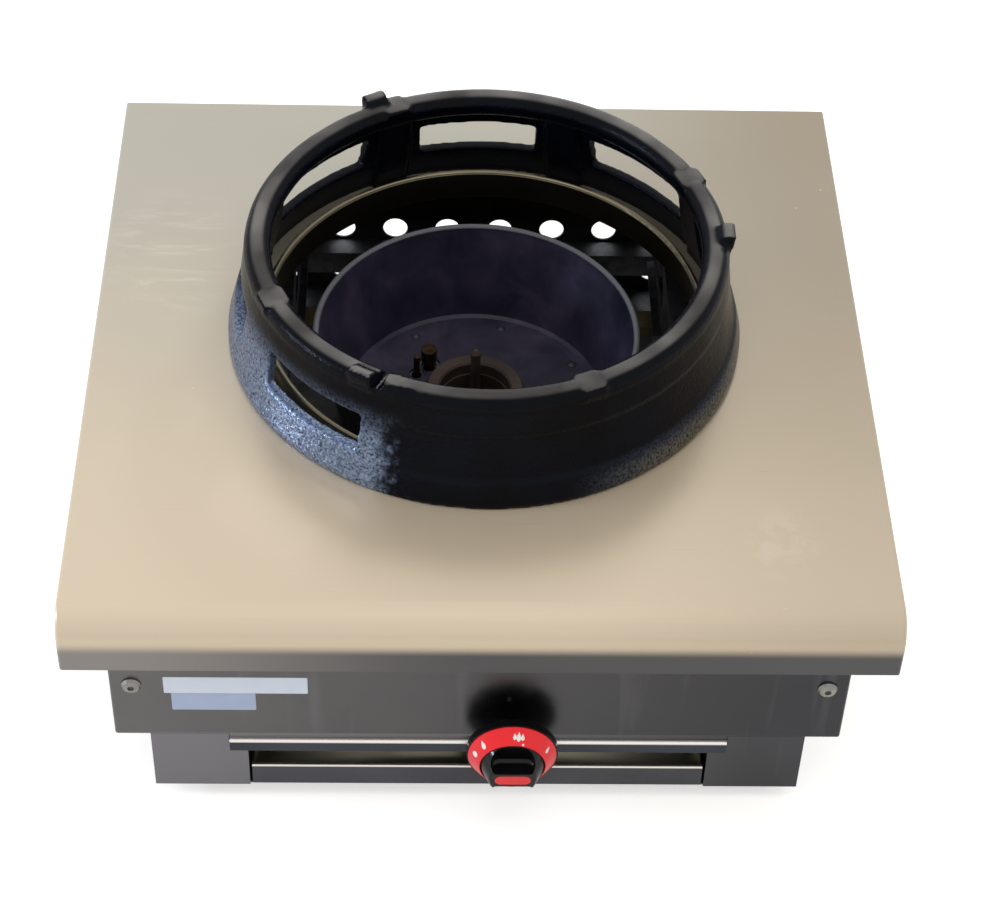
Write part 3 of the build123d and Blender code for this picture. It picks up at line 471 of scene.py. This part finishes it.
def bowlEnamelMaterial():
    # pressed steel bowl in black satin enamel, tinted purple-grey by a painted glow of the flames, its bead
    # a lighter grey
    look = bowlLook
    material, tree, place = newMaterial("flameGlowTintedEnamel")
    haze = addNode(tree, "ShaderNodeTexNoise", {
        "Vector": place, "Scale": 1000 / look["hazeSize"], "Detail": 5.0, "Roughness": 0.6,
        "Distortion": 0.8})
    speck = addNode(tree, "ShaderNodeTexNoise", {
        "Vector": place, "Scale": 1000 / look["speckSize"], "Detail": 2.0})
    height = addNode(tree, "ShaderNodeSeparateXYZ", [place]).outputs[2]
    bead = addNode(tree, "ShaderNodeMapRange", [height, *look["beadHeight"]], **smoothly)
    # painted glow of the flames: purple-grey tones
    base = addNode(tree, "ShaderNodeValToRGB", [haze], stops=look["haze"])
    bump = addNode(tree, "ShaderNodeBump", {
        "Strength": look["speckStrength"], "Distance": look["speckDepth"] * mm, "Height": speck})
    finishMaterial(tree, addNode(tree, "ShaderNodeBsdfPrincipled", {
        "Base Color": painted(tree, base, (bead, look["bead"])),
        "Roughness": addNode(tree, "ShaderNodeMapRange", [haze, 0.0, 1.0, *look["roughness"]]),
        "Normal": bump, "Specular IOR Level": look["gloss"]}))
    return material


metalSkin = {  # mm
    "toolingSize": 1.5, "strength": 0.3, "depth": 0.02, "edge": 0.4, "smoother": 0.07, "rougher": 0.1,
}


def plainMetal(name, colour, paler, roughness, spotSize):
    # bare or plated metal with a mottled tone and a little tooling texture
    material, tree, place = newMaterial(name)
    spots = addNode(tree, "ShaderNodeTexVoronoi", {"Vector": place, "Scale": 1000 / spotSize})
    mottle = addNode(tree, "ShaderNodeSeparateColor", [spots.outputs["Color"]])
    fine = addNode(tree, "ShaderNodeTexNoise", {
        "Vector": place, "Scale": 1000 / metalSkin["toolingSize"], "Detail": 3.0})
    rough = addNode(tree, "ShaderNodeMapRange", [
        fine, 0.0, 1.0, roughness - metalSkin["smoother"], roughness + metalSkin["rougher"]])
    finishMaterial(tree, addNode(tree, "ShaderNodeBsdfPrincipled", {
        "Base Color": painted(tree, colour, (mottle, paler)), "Metallic": 1.0, "Roughness": rough,
        "Normal": relief(tree, fine, metalSkin["strength"], metalSkin["depth"], metalSkin["edge"])}))
    return material


mouldedSkin = {  # mm
    "waveSize": 14.0, "pitSize": 0.9, "strength": 0.06, "depth": 0.02, "edge": 0.6,
    "smoother": 0.04, "rougher": 0.08, "coatRoughness": 0.06,
}


def mouldedPlastic(name, colour, paler, roughness, coat, gloss=0.5):
    # phenolic or ABS moulding with a polished skin, slow flow waves in its tone and tiny pits
    material, tree, place = newMaterial(name)
    waves = addNode(tree, "ShaderNodeTexNoise", {
        "Vector": place, "Scale": 1000 / mouldedSkin["waveSize"], "Detail": 2.0})
    skin = addNode(tree, "ShaderNodeTexNoise", {
        "Vector": place, "Scale": 1000 / mouldedSkin["pitSize"], "Detail": 2.0})
    rough = addNode(tree, "ShaderNodeMapRange", [
        skin, 0.0, 1.0, roughness - mouldedSkin["smoother"], roughness + mouldedSkin["rougher"]])
    finishMaterial(tree, addNode(tree, "ShaderNodeBsdfPrincipled", {
        "Base Color": painted(tree, colour, (waves, paler)), "Roughness": rough,
        "Normal": relief(tree, skin, mouldedSkin["strength"], mouldedSkin["depth"], mouldedSkin["edge"]),
        "Specular IOR Level": gloss,
        "Coat Weight": coat, "Coat Roughness": mouldedSkin["coatRoughness"]}))
    return material


ringEnamel = castIron("enamelledCastIron", ringLook)
burnerIron = castIron("burnerCastIron", burnerLook)
bowlEnamel = bowlEnamelMaterial()

# roughness and mottle size, mm
zincSteel = plainMetal("galvanisedSheet", "#5E6064", "#74767A", 0.5, 9.0)
boltSteel = plainMetal("zincPlatedSteel", "#85837F", "#979590", 0.3, 3.0)
fittingBrass = plainMetal("turnedBrass", "#9A7C45", "#AF8F54", 0.3, 5.0)
scorchedBrass = plainMetal("heatDarkenedBrass", "#3E3226", "#5A4730", 0.42, 4.0)
tubeCopper = plainMetal("drawnCopper", "#A8673F", "#BC7A50", 0.3, 7.0)

# roughness and coat
knobBlack = mouldedPlastic("blackPhenolic", "#040405", "#08080A", 0.16, 0.15, gloss=0.18)
knobRed = mouldedPlastic("redPhenolic", "#EE1620", "#FA2630", 0.3, 0.25, gloss=0.3)
markWhite = mouldedPlastic("whiteInlayPaint", "#F3F1ED", "#FAF9F6", 0.45, 0.0)
markBlack = mouldedPlastic("blackScreenPrint", "#18181A", "#222224", 0.5, 0.0)
footRubber = mouldedPlastic("blackRubber", "#1A1A1B", "#222223", 0.75, 0.0)
labelWhite = mouldedPlastic("whiteFilmLabel", "#DCEAFF", "#E8F2FF", 0.3, 0.3)
labelGrey = mouldedPlastic("greyFilmLabel", "#A9BBDE", "#B6C6E4", 0.4, 0.2)

slotMaterials = {
    "worktop_steel": worktopSteel, "panel_steel": panelSteel, "zinc_steel": zincSteel,
    "bright_steel": boltSteel, "brass_fittings": fittingBrass, "copper_tube": tubeCopper,
    "black_casting": burnerIron, "black_enamel": bowlEnamel, "foot_rubber": footRubber,
    "knob_black": knobBlack, "knob_red": knobRed,
}
nodeSlots = {part["node"]: part["material_slot"] for part in frame["record"]["subparts"]}
ownMaterials = {
    "opening_collar": collarSteel, "drip_tray": traySteel, "wok_ring": ringEnamel,
    "slot_lip": lipSteel, "pilot_burner": scorchedBrass, "thermocouple": scorchedBrass,
}
for nodeName, part in nodes.items():
    material = ownMaterials.get(nodeName, slotMaterials[nodeSlots[nodeName]])
    if not part.material_slots:
        part.data.materials.append(material)
    for materialSlot in part.material_slots:
        materialSlot.material = material
print("materials on", len(nodes), "nodes")

ring = {
    "voxel": 1.85, "merge": 0.01,  # mm
    "softening": 2, "softness": 0.5,  # passes that round the mould's edges, and how far each goes
    "waveSize": 34.0, "waveDepth": 0.35,  # mm
    "foldAngles": (243.0, 256.0), "foldSize": 7.0, "foldDepth": 1.3, "foldNarrowness": 4,
    "foldFacing": 0.5, "foldTop": topZ + 80 * mm, "foldFade": 20 * mm,
}


def castRing():
    # the CAD ring with the soft edges of a casting
    mesh = nodes["wok_ring"].data.copy()
    shell = bmesh.new()
    shell.from_mesh(mesh)
    bmesh.ops.remove_doubles(shell, verts=shell.verts, dist=ring["merge"] * mm)
    shell.to_mesh(mesh)
    shell.free()
    rough = inScene("roughRing", mesh)
    voxels = rough.modifiers.new("voxels", "REMESH")
    voxels.mode = "VOXEL"
    voxels.voxel_size = ring["voxel"] * mm
    soften = rough.modifiers.new("soften", "SMOOTH")
    soften.factor = ring["softness"]
    soften.iterations = ring["softening"]
    cast = applied(rough)
    bpy.data.objects.remove(rough)
    normals = [vertex.normal.copy() for vertex in cast.vertices]
    centre = Vector((ringCentre[0] * mm, ringCentre[1] * mm, 0))
    low, high = ring["foldAngles"]
    for vertex, normal in zip(cast.vertices, normals):
        push = noise.noise(vertex.co * (1000 / ring["waveSize"])) * ring["waveDepth"]
        away = vertex.co - centre
        angle = math.degrees(math.atan2(away.y, away.x)) % 360
        # cold folds in the outer skin
        if low < angle < high and normal.dot(away.normalized()) > ring["foldFacing"]:
            edge = math.sin(math.pi * (angle - low) / (high - low))
            wander = abs(noise.noise(vertex.co * (1000 / ring["foldSize"])))
            fold = max(0.0, 1 - wander * ring["foldNarrowness"])
            fade = min(1.0, (ring["foldTop"] - vertex.co.z) / ring["foldFade"])
            push -= edge * fold * ring["foldDepth"] * fade
        vertex.co += normal * push * mm
    piece = newPiece("castRing", cast, "cast_ring", ringEnamel)
    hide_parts("wok_ring")
    print("cast ring", len(cast.polygons), "faces")


castRing()

rivets = {  # mm
    "segments": 20, "rings": 8,
    "flangeTop": 1.18, "flangeBottom": 1.34, "flangeDepth": 0.34,  # in heads
    "bowl": {"centre": (-2.0, 18.0), "radius": 94.0, "height": 122.0, "count": 8, "first": 31.0,
             "headRadius": 3.0, "headHeight": 1.5},
    "panels": {"headRadius": 3.2, "headHeight": 1.3, "backFace": 280.0, "sideFace": 242.0,
               "backColumns": (-230.0, 230.0), "backHeights": (34.0, 78.0, 126.0, 168.0),
               "sideHeight": 24.0, "sidePlaces": (-210.0, -105.0, 0.0, 105.0, 210.0)},
}


def rivetTree():
    # heads on every point of a mesh, each turned by the point's own angles
    tree = bpy.data.node_groups.new("rivetHeads", "GeometryNodeTree")
    tree.is_modifier = True
    sockets = {}
    for name, kind in (("Geometry", "NodeSocketGeometry"), ("Head Radius", "NodeSocketFloat"),
                       ("Head Height", "NodeSocketFloat"), ("Finish", "NodeSocketMaterial")):
        sockets[name] = tree.interface.new_socket(name, in_out="INPUT", socket_type=kind).identifier
    tree.interface.new_socket("Geometry", in_out="OUTPUT", socket_type="NodeSocketGeometry")
    given = addNode(tree, "NodeGroupInput").outputs
    dome = addNode(tree, "GeometryNodeMeshUVSphere", {
        "Segments": rivets["segments"], "Rings": rivets["rings"], "Radius": 1.0})
    flange = addNode(tree, "GeometryNodeMeshCone", {
        "Vertices": rivets["segments"], "Radius Top": rivets["flangeTop"],
        "Radius Bottom": rivets["flangeBottom"], "Depth": rivets["flangeDepth"]})
    both = addNode(tree, "GeometryNodeJoinGeometry", [dome])
    tree.links.new(flange.outputs["Mesh"], both.inputs[0])
    size = addNode(tree, "ShaderNodeCombineXYZ", [
        given["Head Radius"], given["Head Radius"], given["Head Height"]])
    head = addNode(tree, "GeometryNodeTransform", {"Geometry": both, "Scale": size})
    facing = addNode(tree, "GeometryNodeInputNamedAttribute", {"Name": "facing"}, data_type="FLOAT_VECTOR")
    turned = addNode(tree, "FunctionNodeEulerToRotation", [facing.outputs["Attribute"]])
    placed = addNode(tree, "GeometryNodeInstanceOnPoints", {
        "Points": given["Geometry"], "Instance": head, "Rotation": turned})
    real = addNode(tree, "GeometryNodeRealizeInstances", [placed])
    finish = addNode(tree, "GeometryNodeSetMaterial", {"Geometry": real, "Material": given["Finish"]})
    addNode(tree, "NodeGroupOutput", [finish])
    return tree, sockets


rivetHeads, rivetSockets = rivetTree()


def rivetPiece(name, body, places, facings, values, finish):
    mesh = bpy.data.meshes.new(name)
    mesh.from_pydata([tuple(c * mm for c in place) for place in places], [], [])
    turns = mesh.attributes.new("facing", "FLOAT_VECTOR", "POINT")
    for index, facing in enumerate(facings):
        turns.data[index].vector = [math.radians(angle) for angle in facing]
    points = inScene(name + "Points", mesh)
    modifier = points.modifiers.new("rivetHeads", "NODES")
    modifier.node_group = rivetHeads
    modifier[rivetSockets["Head Radius"]] = values["headRadius"] * mm
    modifier[rivetSockets["Head Height"]] = values["headHeight"] * mm
    modifier[rivetSockets["Finish"]] = finish
    heads = applied(points)
    bpy.data.objects.remove(points)
    newPiece(name, heads, body)
    print(name, len(places))


def allRivets():
    bowl, panels = rivets["bowl"], rivets["panels"]
    angles = [math.radians(bowl["first"] + 360 / bowl["count"] * i) for i in range(bowl["count"])]
    places = [(bowl["centre"][0] + bowl["radius"] * math.cos(angle),
               bowl["centre"][1] + bowl["radius"] * math.sin(angle), bowl["height"]) for angle in angles]
    facings = [(0, 0, 0)] * len(places)
    rivetPiece("bowlRivets", "flame_bowl", places, facings, bowl, bowlEnamel)
    places, facings = [], []
    for x in panels["backColumns"]:
        for z in panels["backHeights"]:
            places.append((x, panels["backFace"], z))
            facings.append((-90, 0, 0))
    for side in (-1, 1):
        for y in panels["sidePlaces"]:
            places.append((side * panels["sideFace"], y, panels["sideHeight"]))
            facings.append((0, side * 90, 0))
    rivetPiece("panelRivets", "range_body", places, facings, panels, boltSteel)


allRivets()

inlet = {  # mm
    "x": 200.0, "z": 90.0,
    "flats": 27.0, "inner": 262.0, "panel": 278.5, "shoulder": 288.0, "end": 329.0,
    "neck": 11.2, "crest": 10.48, "root": 9.4, "pitch": 1.814, "bore": 6.0, "boreEnd": 290.0,
    "flankRise": 2.6,  # thread depths gained per pitch, before the flat crest
    "plainEnd": 1.2, "chamferLength": 1.0, "chamferDepth": 0.4,
    "pole": 0.01,  # radius that closes an end
    "flatFacing": 0.9,  # faces that look along the axis stay flat
    "around": 48, "perTurn": 6,
}


def threadedInlet():
    # the CAD fitting with its half-inch thread cut in
    def hexagonal(angle, y):
        return inlet["flats"] / 2 / math.cos((angle + math.pi / 6) % (math.pi / 3) - math.pi / 6)

    def threaded(angle, y):
        phase = (y / inlet["pitch"] - angle / (2 * math.pi)) % 1.0
        rise = min(1.0, inlet["flankRise"] * min(phase, 1 - phase))
        return inlet["root"] + (inlet["crest"] - inlet["root"]) * rise

    def plain(radius):
        return lambda angle, y: radius

    start, panel, shoulder, end = (inlet[key] for key in ("inner", "panel", "shoulder", "end"))
    pole, neck, root, bore = (plain(inlet[key]) for key in ("pole", "neck", "root", "bore"))
    rows = [(start, pole), (start, hexagonal), (panel, hexagonal), (panel, neck),
            (shoulder, neck), (shoulder, root)]
    turns = int((end - shoulder - inlet["plainEnd"]) / inlet["pitch"] * inlet["perTurn"])
    for step in range(1, turns):
        rows.append((shoulder + step * inlet["pitch"] / inlet["perTurn"], threaded))
    rows += [(end - inlet["chamferLength"], root), (end, plain(inlet["root"] - inlet["chamferDepth"])),
             (end, bore), (inlet["boreEnd"], bore), (inlet["boreEnd"], pole)]
    around = inlet["around"]
    points, faces = [], []
    for y, radiusAt in rows:
        for step in range(around):
            angle = 2 * math.pi * step / around
            radius = radiusAt(angle, y)
            points.append((inlet["x"] + radius * math.cos(angle), y, inlet["z"] + radius * math.sin(angle)))
    for row in range(len(rows) - 1):
        for step in range(around):
            following = (step + 1) % around
            faces.append((row * around + step, row * around + following,
                          (row + 1) * around + following, (row + 1) * around + step))
    mesh = meshFrom("threadedInlet", points, faces)
    piece = newPiece("threadedInlet", mesh, "range_body", fittingBrass, smooth=False)
    mesh.polygons.foreach_set("use_smooth", [
        abs(face.normal.y) < inlet["flatFacing"] for face in mesh.polygons])
    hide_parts("gas_inlet")
    print("threaded inlet", len(mesh.polygons), "faces")


threadedInlet()

labels = {  # mm
    "panelFace": -284.0, "thickness": 0.15, "cornerRadius": 1.0, "cornerSteps": 4,
    # left, right, low and high edge
    "ratingPlate": (-229.0, -125.0, 123.0, 141.0),
    "noticePlate": (-224.0, -163.0, 104.0, 123.0),
}


def bareLabel(name, corners, material):
    # thin film with round corners, lying on the control panel
    left, right, low, high = corners
    face, radius, steps = labels["panelFace"], labels["cornerRadius"], labels["cornerSteps"]
    outline = []
    for cx, cz, start in ((right - radius, high - radius, 0), (left + radius, high - radius, 90),
                          (left + radius, low + radius, 180), (right - radius, low + radius, 270)):
        for step in range(steps + 1):
            angle = math.radians(start + 90 * step / steps)
            outline.append((cx + radius * math.cos(angle), cz + radius * math.sin(angle)))
    count = len(outline)
    points = [(x, face - labels["thickness"], z) for x, z in outline] + [(x, face, z) for x, z in outline]
    faces = [tuple(range(count)), tuple(range(2 * count - 1, count - 1, -1))]
    faces += [(i, (i + 1) % count, count + (i + 1) % count, count + i) for i in range(count)]
    newPiece(name, meshFrom(name, points, faces), "range_body", material, smooth=False)
    print("bare label", name)


bareLabel("ratingPlate", labels["ratingPlate"], labelWhite)
bareLabel("noticePlate", labels["noticePlate"], labelGrey)

knobMarks = {  # mm
    "axis": (24.0, 80.0), "panelFace": -284.0,
    "outer": (32.4, 21.8), "inner": (24.5, 32.0),  # the cone's edges: radius, distance from the panel
    "thickness": 0.14, "sunk": 0.05,
    "flameSteps": 9, "flameBelly": 0.75, "flameTaper": 0.35, "dotSteps": 16,
    "off": 164.0, "pilot": 140.0, "full": 82.0, "low": 27.0, "index": 74.0,  # degrees round the cone
    "indexInward": 5.4,
    "printAside": -3.0, "printBelow": 92.0,  # from the knob's axis, from the cooking surface
}


def flame(width, height, sideways=0.0, lean=0.0):
    # drop-shaped outline with a pointed tip; the tip is away from the knob's axis
    steps, belly, taper = (knobMarks[key] for key in ("flameSteps", "flameBelly", "flameTaper"))
    right = []
    for step in range(steps + 1):
        share = step / steps
        half = width / 2 * math.sin(math.pi * min(1.0, share ** belly)) * (1 - taper * share)
        right.append((half, share * height - height / 2, lean * share * share))
    outline = [(sideways + bend + half, -up) for half, up, bend in right]
    outline += [(sideways + bend - half, -up) for half, up, bend in reversed(right[1:-1])]
    return outline


def dot(radius):
    turns = [2 * math.pi * i / knobMarks["dotSteps"] for i in range(knobMarks["dotSteps"])]
    return [(radius * math.cos(turn), radius * math.sin(turn)) for turn in turns]


def onCone(around, along, degrees, lift):
    # a point of the red cone, from its middle line
    (r0, d0), (r1, d1) = knobMarks["outer"], knobMarks["inner"]
    slope = math.hypot(r1 - r0, d1 - d0)
    inward, forward = (r1 - r0) / slope, (d1 - d0) / slope
    radius = (r0 + r1) / 2 + inward * along + forward * lift
    distance = (d0 + d1) / 2 + forward * along - inward * lift
    angle = math.radians(degrees) + around / radius
    x, z = knobMarks["axis"]
    return x + radius * math.cos(angle), knobMarks["panelFace"] - distance, z + radius * math.sin(angle)


def printedMark(name, outlines, toPoint, body, material):
    # thin film from outlines that can be fanned from their middle
    points, faces = [], []
    for outline in outlines:
        count, first = len(outline), len(points)
        middle = (sum(p[0] for p in outline) / count, sum(p[1] for p in outline) / count)
        for lift in (knobMarks["thickness"], -knobMarks["sunk"]):
            points += [toPoint(u, v, lift) for u, v in outline + [middle]]
        upper, lower = first, first + count + 1
        for i in range(count):
            j = (i + 1) % count
            faces += [(upper + i, upper + j, upper + count), (lower + j, lower + i, lower + count),
                      (upper + j, upper + i, lower + i, lower + j)]
    newPiece(name, meshFrom(name, points, faces), body, material, smooth=False)


def allMarks():
    onKnob = {
        "markOff": (knobMarks["off"], [dot(2.5)]),
        "markPilot": (knobMarks["pilot"], [flame(4.2, 7.0, lean=-0.8)]),
        "markFull": (knobMarks["full"], [flame(3.2, 5.2, -2.9), flame(3.8, 7.4), flame(3.2, 5.2, 2.9)]),
        "markLow": (knobMarks["low"], [flame(3.0, 5.8, lean=0.6)]),
        "markIndex": (knobMarks["index"], [[(u, v + knobMarks["indexInward"]) for u, v in dot(0.9)]]),
    }
    for name, (degrees, outlines) in onKnob.items():
        printedMark(name, outlines, lambda u, v, lift, at=degrees: onCone(u, v, at, lift),
                    "knob", markWhite)
    x, face = knobMarks["axis"][0] + knobMarks["printAside"], knobMarks["panelFace"]
    height = topZ / mm - knobMarks["printBelow"]
    printedMark("panelMark", [flame(3.4, 5.0), dot(0.91)],
                lambda u, v, lift: (x + u, face - lift, height - v), "range_body", markBlack)
    print("knob marks", len(onKnob))


allMarks()

studio = {
    "floor": "#E9E7E3", "floorReach": 6.0, "glowSeen": 0.55, "glowMirrored": 0.3,
    "world": "#F4F1EC", "worldStrength": 0.6,
    # name, place (m), aim (m), size (m), watts, colour, seen in mirrors
    "lamps": [
        ("windowLeft", (-2.2, -0.35, 0.8), (0.0, 0.0, 0.22), (0.3, 0.22), 13.0, "#DCE8FF", True),
        ("softLeft", (-1.9, -0.3, 1.3), (0.0, 0.0, 0.22), (1.2, 1.0), 13.0, "#EAF1FF", False),
        ("windowBack", (0.9, 2.1, 1.5), (0.0, 0.0, 0.22), (0.5, 0.3), 16.0, "#E6F0FF", False),
        ("softTop", (0.2, -0.3, 2.6), (0.0, 0.0, 0.2), (2.4, 2.0), 20.0, "#FFF8EE", False),
        ("fillRight", (2.0, -0.9, 1.4), (0.0, 0.0, 0.2), (1.2, 1.2), 7.0, "#FFFFFF", False),
    ],
}


def paleInMirrors(tree):
    # 1 for rays that look at the background straight, in metal or through glass
    seen = addNode(tree, "ShaderNodeLightPath").outputs
    share = seen["Is Camera Ray"]
    for other in ("Is Glossy Ray", "Is Transmission Ray"):
        share = addNode(tree, "ShaderNodeMath", [share, seen[other]], operation="MAXIMUM")
    return share


def makeFloor():
    material, tree = newMaterial("palePaper")[:2]
    straight = addNode(tree, "ShaderNodeLightPath").outputs["Is Camera Ray"]
    level = addNode(tree, "ShaderNodeMapRange", [
        straight, 0.0, 1.0, studio["glowMirrored"], studio["glowSeen"]])
    strength = addNode(tree, "ShaderNodeMath", [paleInMirrors(tree), level], operation="MULTIPLY")
    paper = addNode(tree, "ShaderNodeBsdfDiffuse", {"Color": studio["floor"]})
    glow = addNode(tree, "ShaderNodeEmission", {"Strength": strength})
    finishMaterial(tree, addNode(tree, "ShaderNodeAddShader", [paper, glow]))
    reach = studio["floorReach"]
    corners = [(-reach, -reach, 0), (reach, -reach, 0), (reach, reach, 0), (-reach, reach, 0)]
    mesh = bpy.data.meshes.new("floor")
    mesh.from_pydata(corners, [], [(0, 1, 2, 3)])
    mesh.materials.append(material)
    inScene("floor", mesh)


def makeWorld():
    world = bpy.data.worlds.new("studio")
    bpy.context.scene.world = world
    world.use_nodes = True
    tree = world.node_tree
    tree.nodes.clear()
    room = addNode(tree, "ShaderNodeBackground", {
        "Color": studio["world"], "Strength": studio["worldStrength"]})
    white = addNode(tree, "ShaderNodeBackground", {"Color": (1, 1, 1, 1), "Strength": 1.0})
    mix = addNode(tree, "ShaderNodeMixShader", [paleInMirrors(tree), room, white])
    addNode(tree, "ShaderNodeOutputWorld", {"Surface": mix})


def aimed(location, target):
    turn = (Vector(target) - Vector(location)).to_track_quat("-Z", "Y")
    return Matrix.Translation(location) @ turn.to_matrix().to_4x4()


def makeLamps():
    for name, place, aim, size, watts, colour, mirrored in studio["lamps"]:
        lamp = bpy.data.lights.new(name, "AREA")
        lamp.shape = "RECTANGLE"
        lamp.size, lamp.size_y = size
        lamp.energy = watts
        lamp.color = linear(colour)[:3]
        holder = inScene(name, lamp)
        holder.matrix_world = aimed(place, aim)
        holder.visible_glossy = mirrored


# the photograph's viewpoint, from a fit of its edges and circles
view = {
    "place": (-0.0433, -1.4515, 1.5613), "down": 45.434, "right": 2.476, "roll": -2.276,  # m, degrees
    "focalPixels": 2540.6, "frameWidth": 1000, "sensor": 36.0, "clip": (0.05, 50),  # mm, m
}


def makeCamera():
    lens = bpy.data.cameras.new("camera")
    lens.sensor_fit = "HORIZONTAL"
    lens.sensor_width = view["sensor"]
    lens.lens = view["focalPixels"] * view["sensor"] / view["frameWidth"]
    lens.clip_start, lens.clip_end = view["clip"]
    camera = inScene("camera", lens)
    camera.matrix_world = (
        Matrix.Translation(view["place"])
        @ Matrix.Rotation(math.radians(-view["right"]), 4, "Z")
        @ Matrix.Rotation(math.radians(90 - view["down"]), 4, "X")
        @ Matrix.Rotation(math.radians(-view["roll"]), 4, "Z")
    )
    bpy.context.scene.camera = camera


makeFloor()
makeWorld()
makeLamps()
makeCamera()
bpy.context.scene.view_settings.view_transform = "Standard"
print("floor, light and camera")
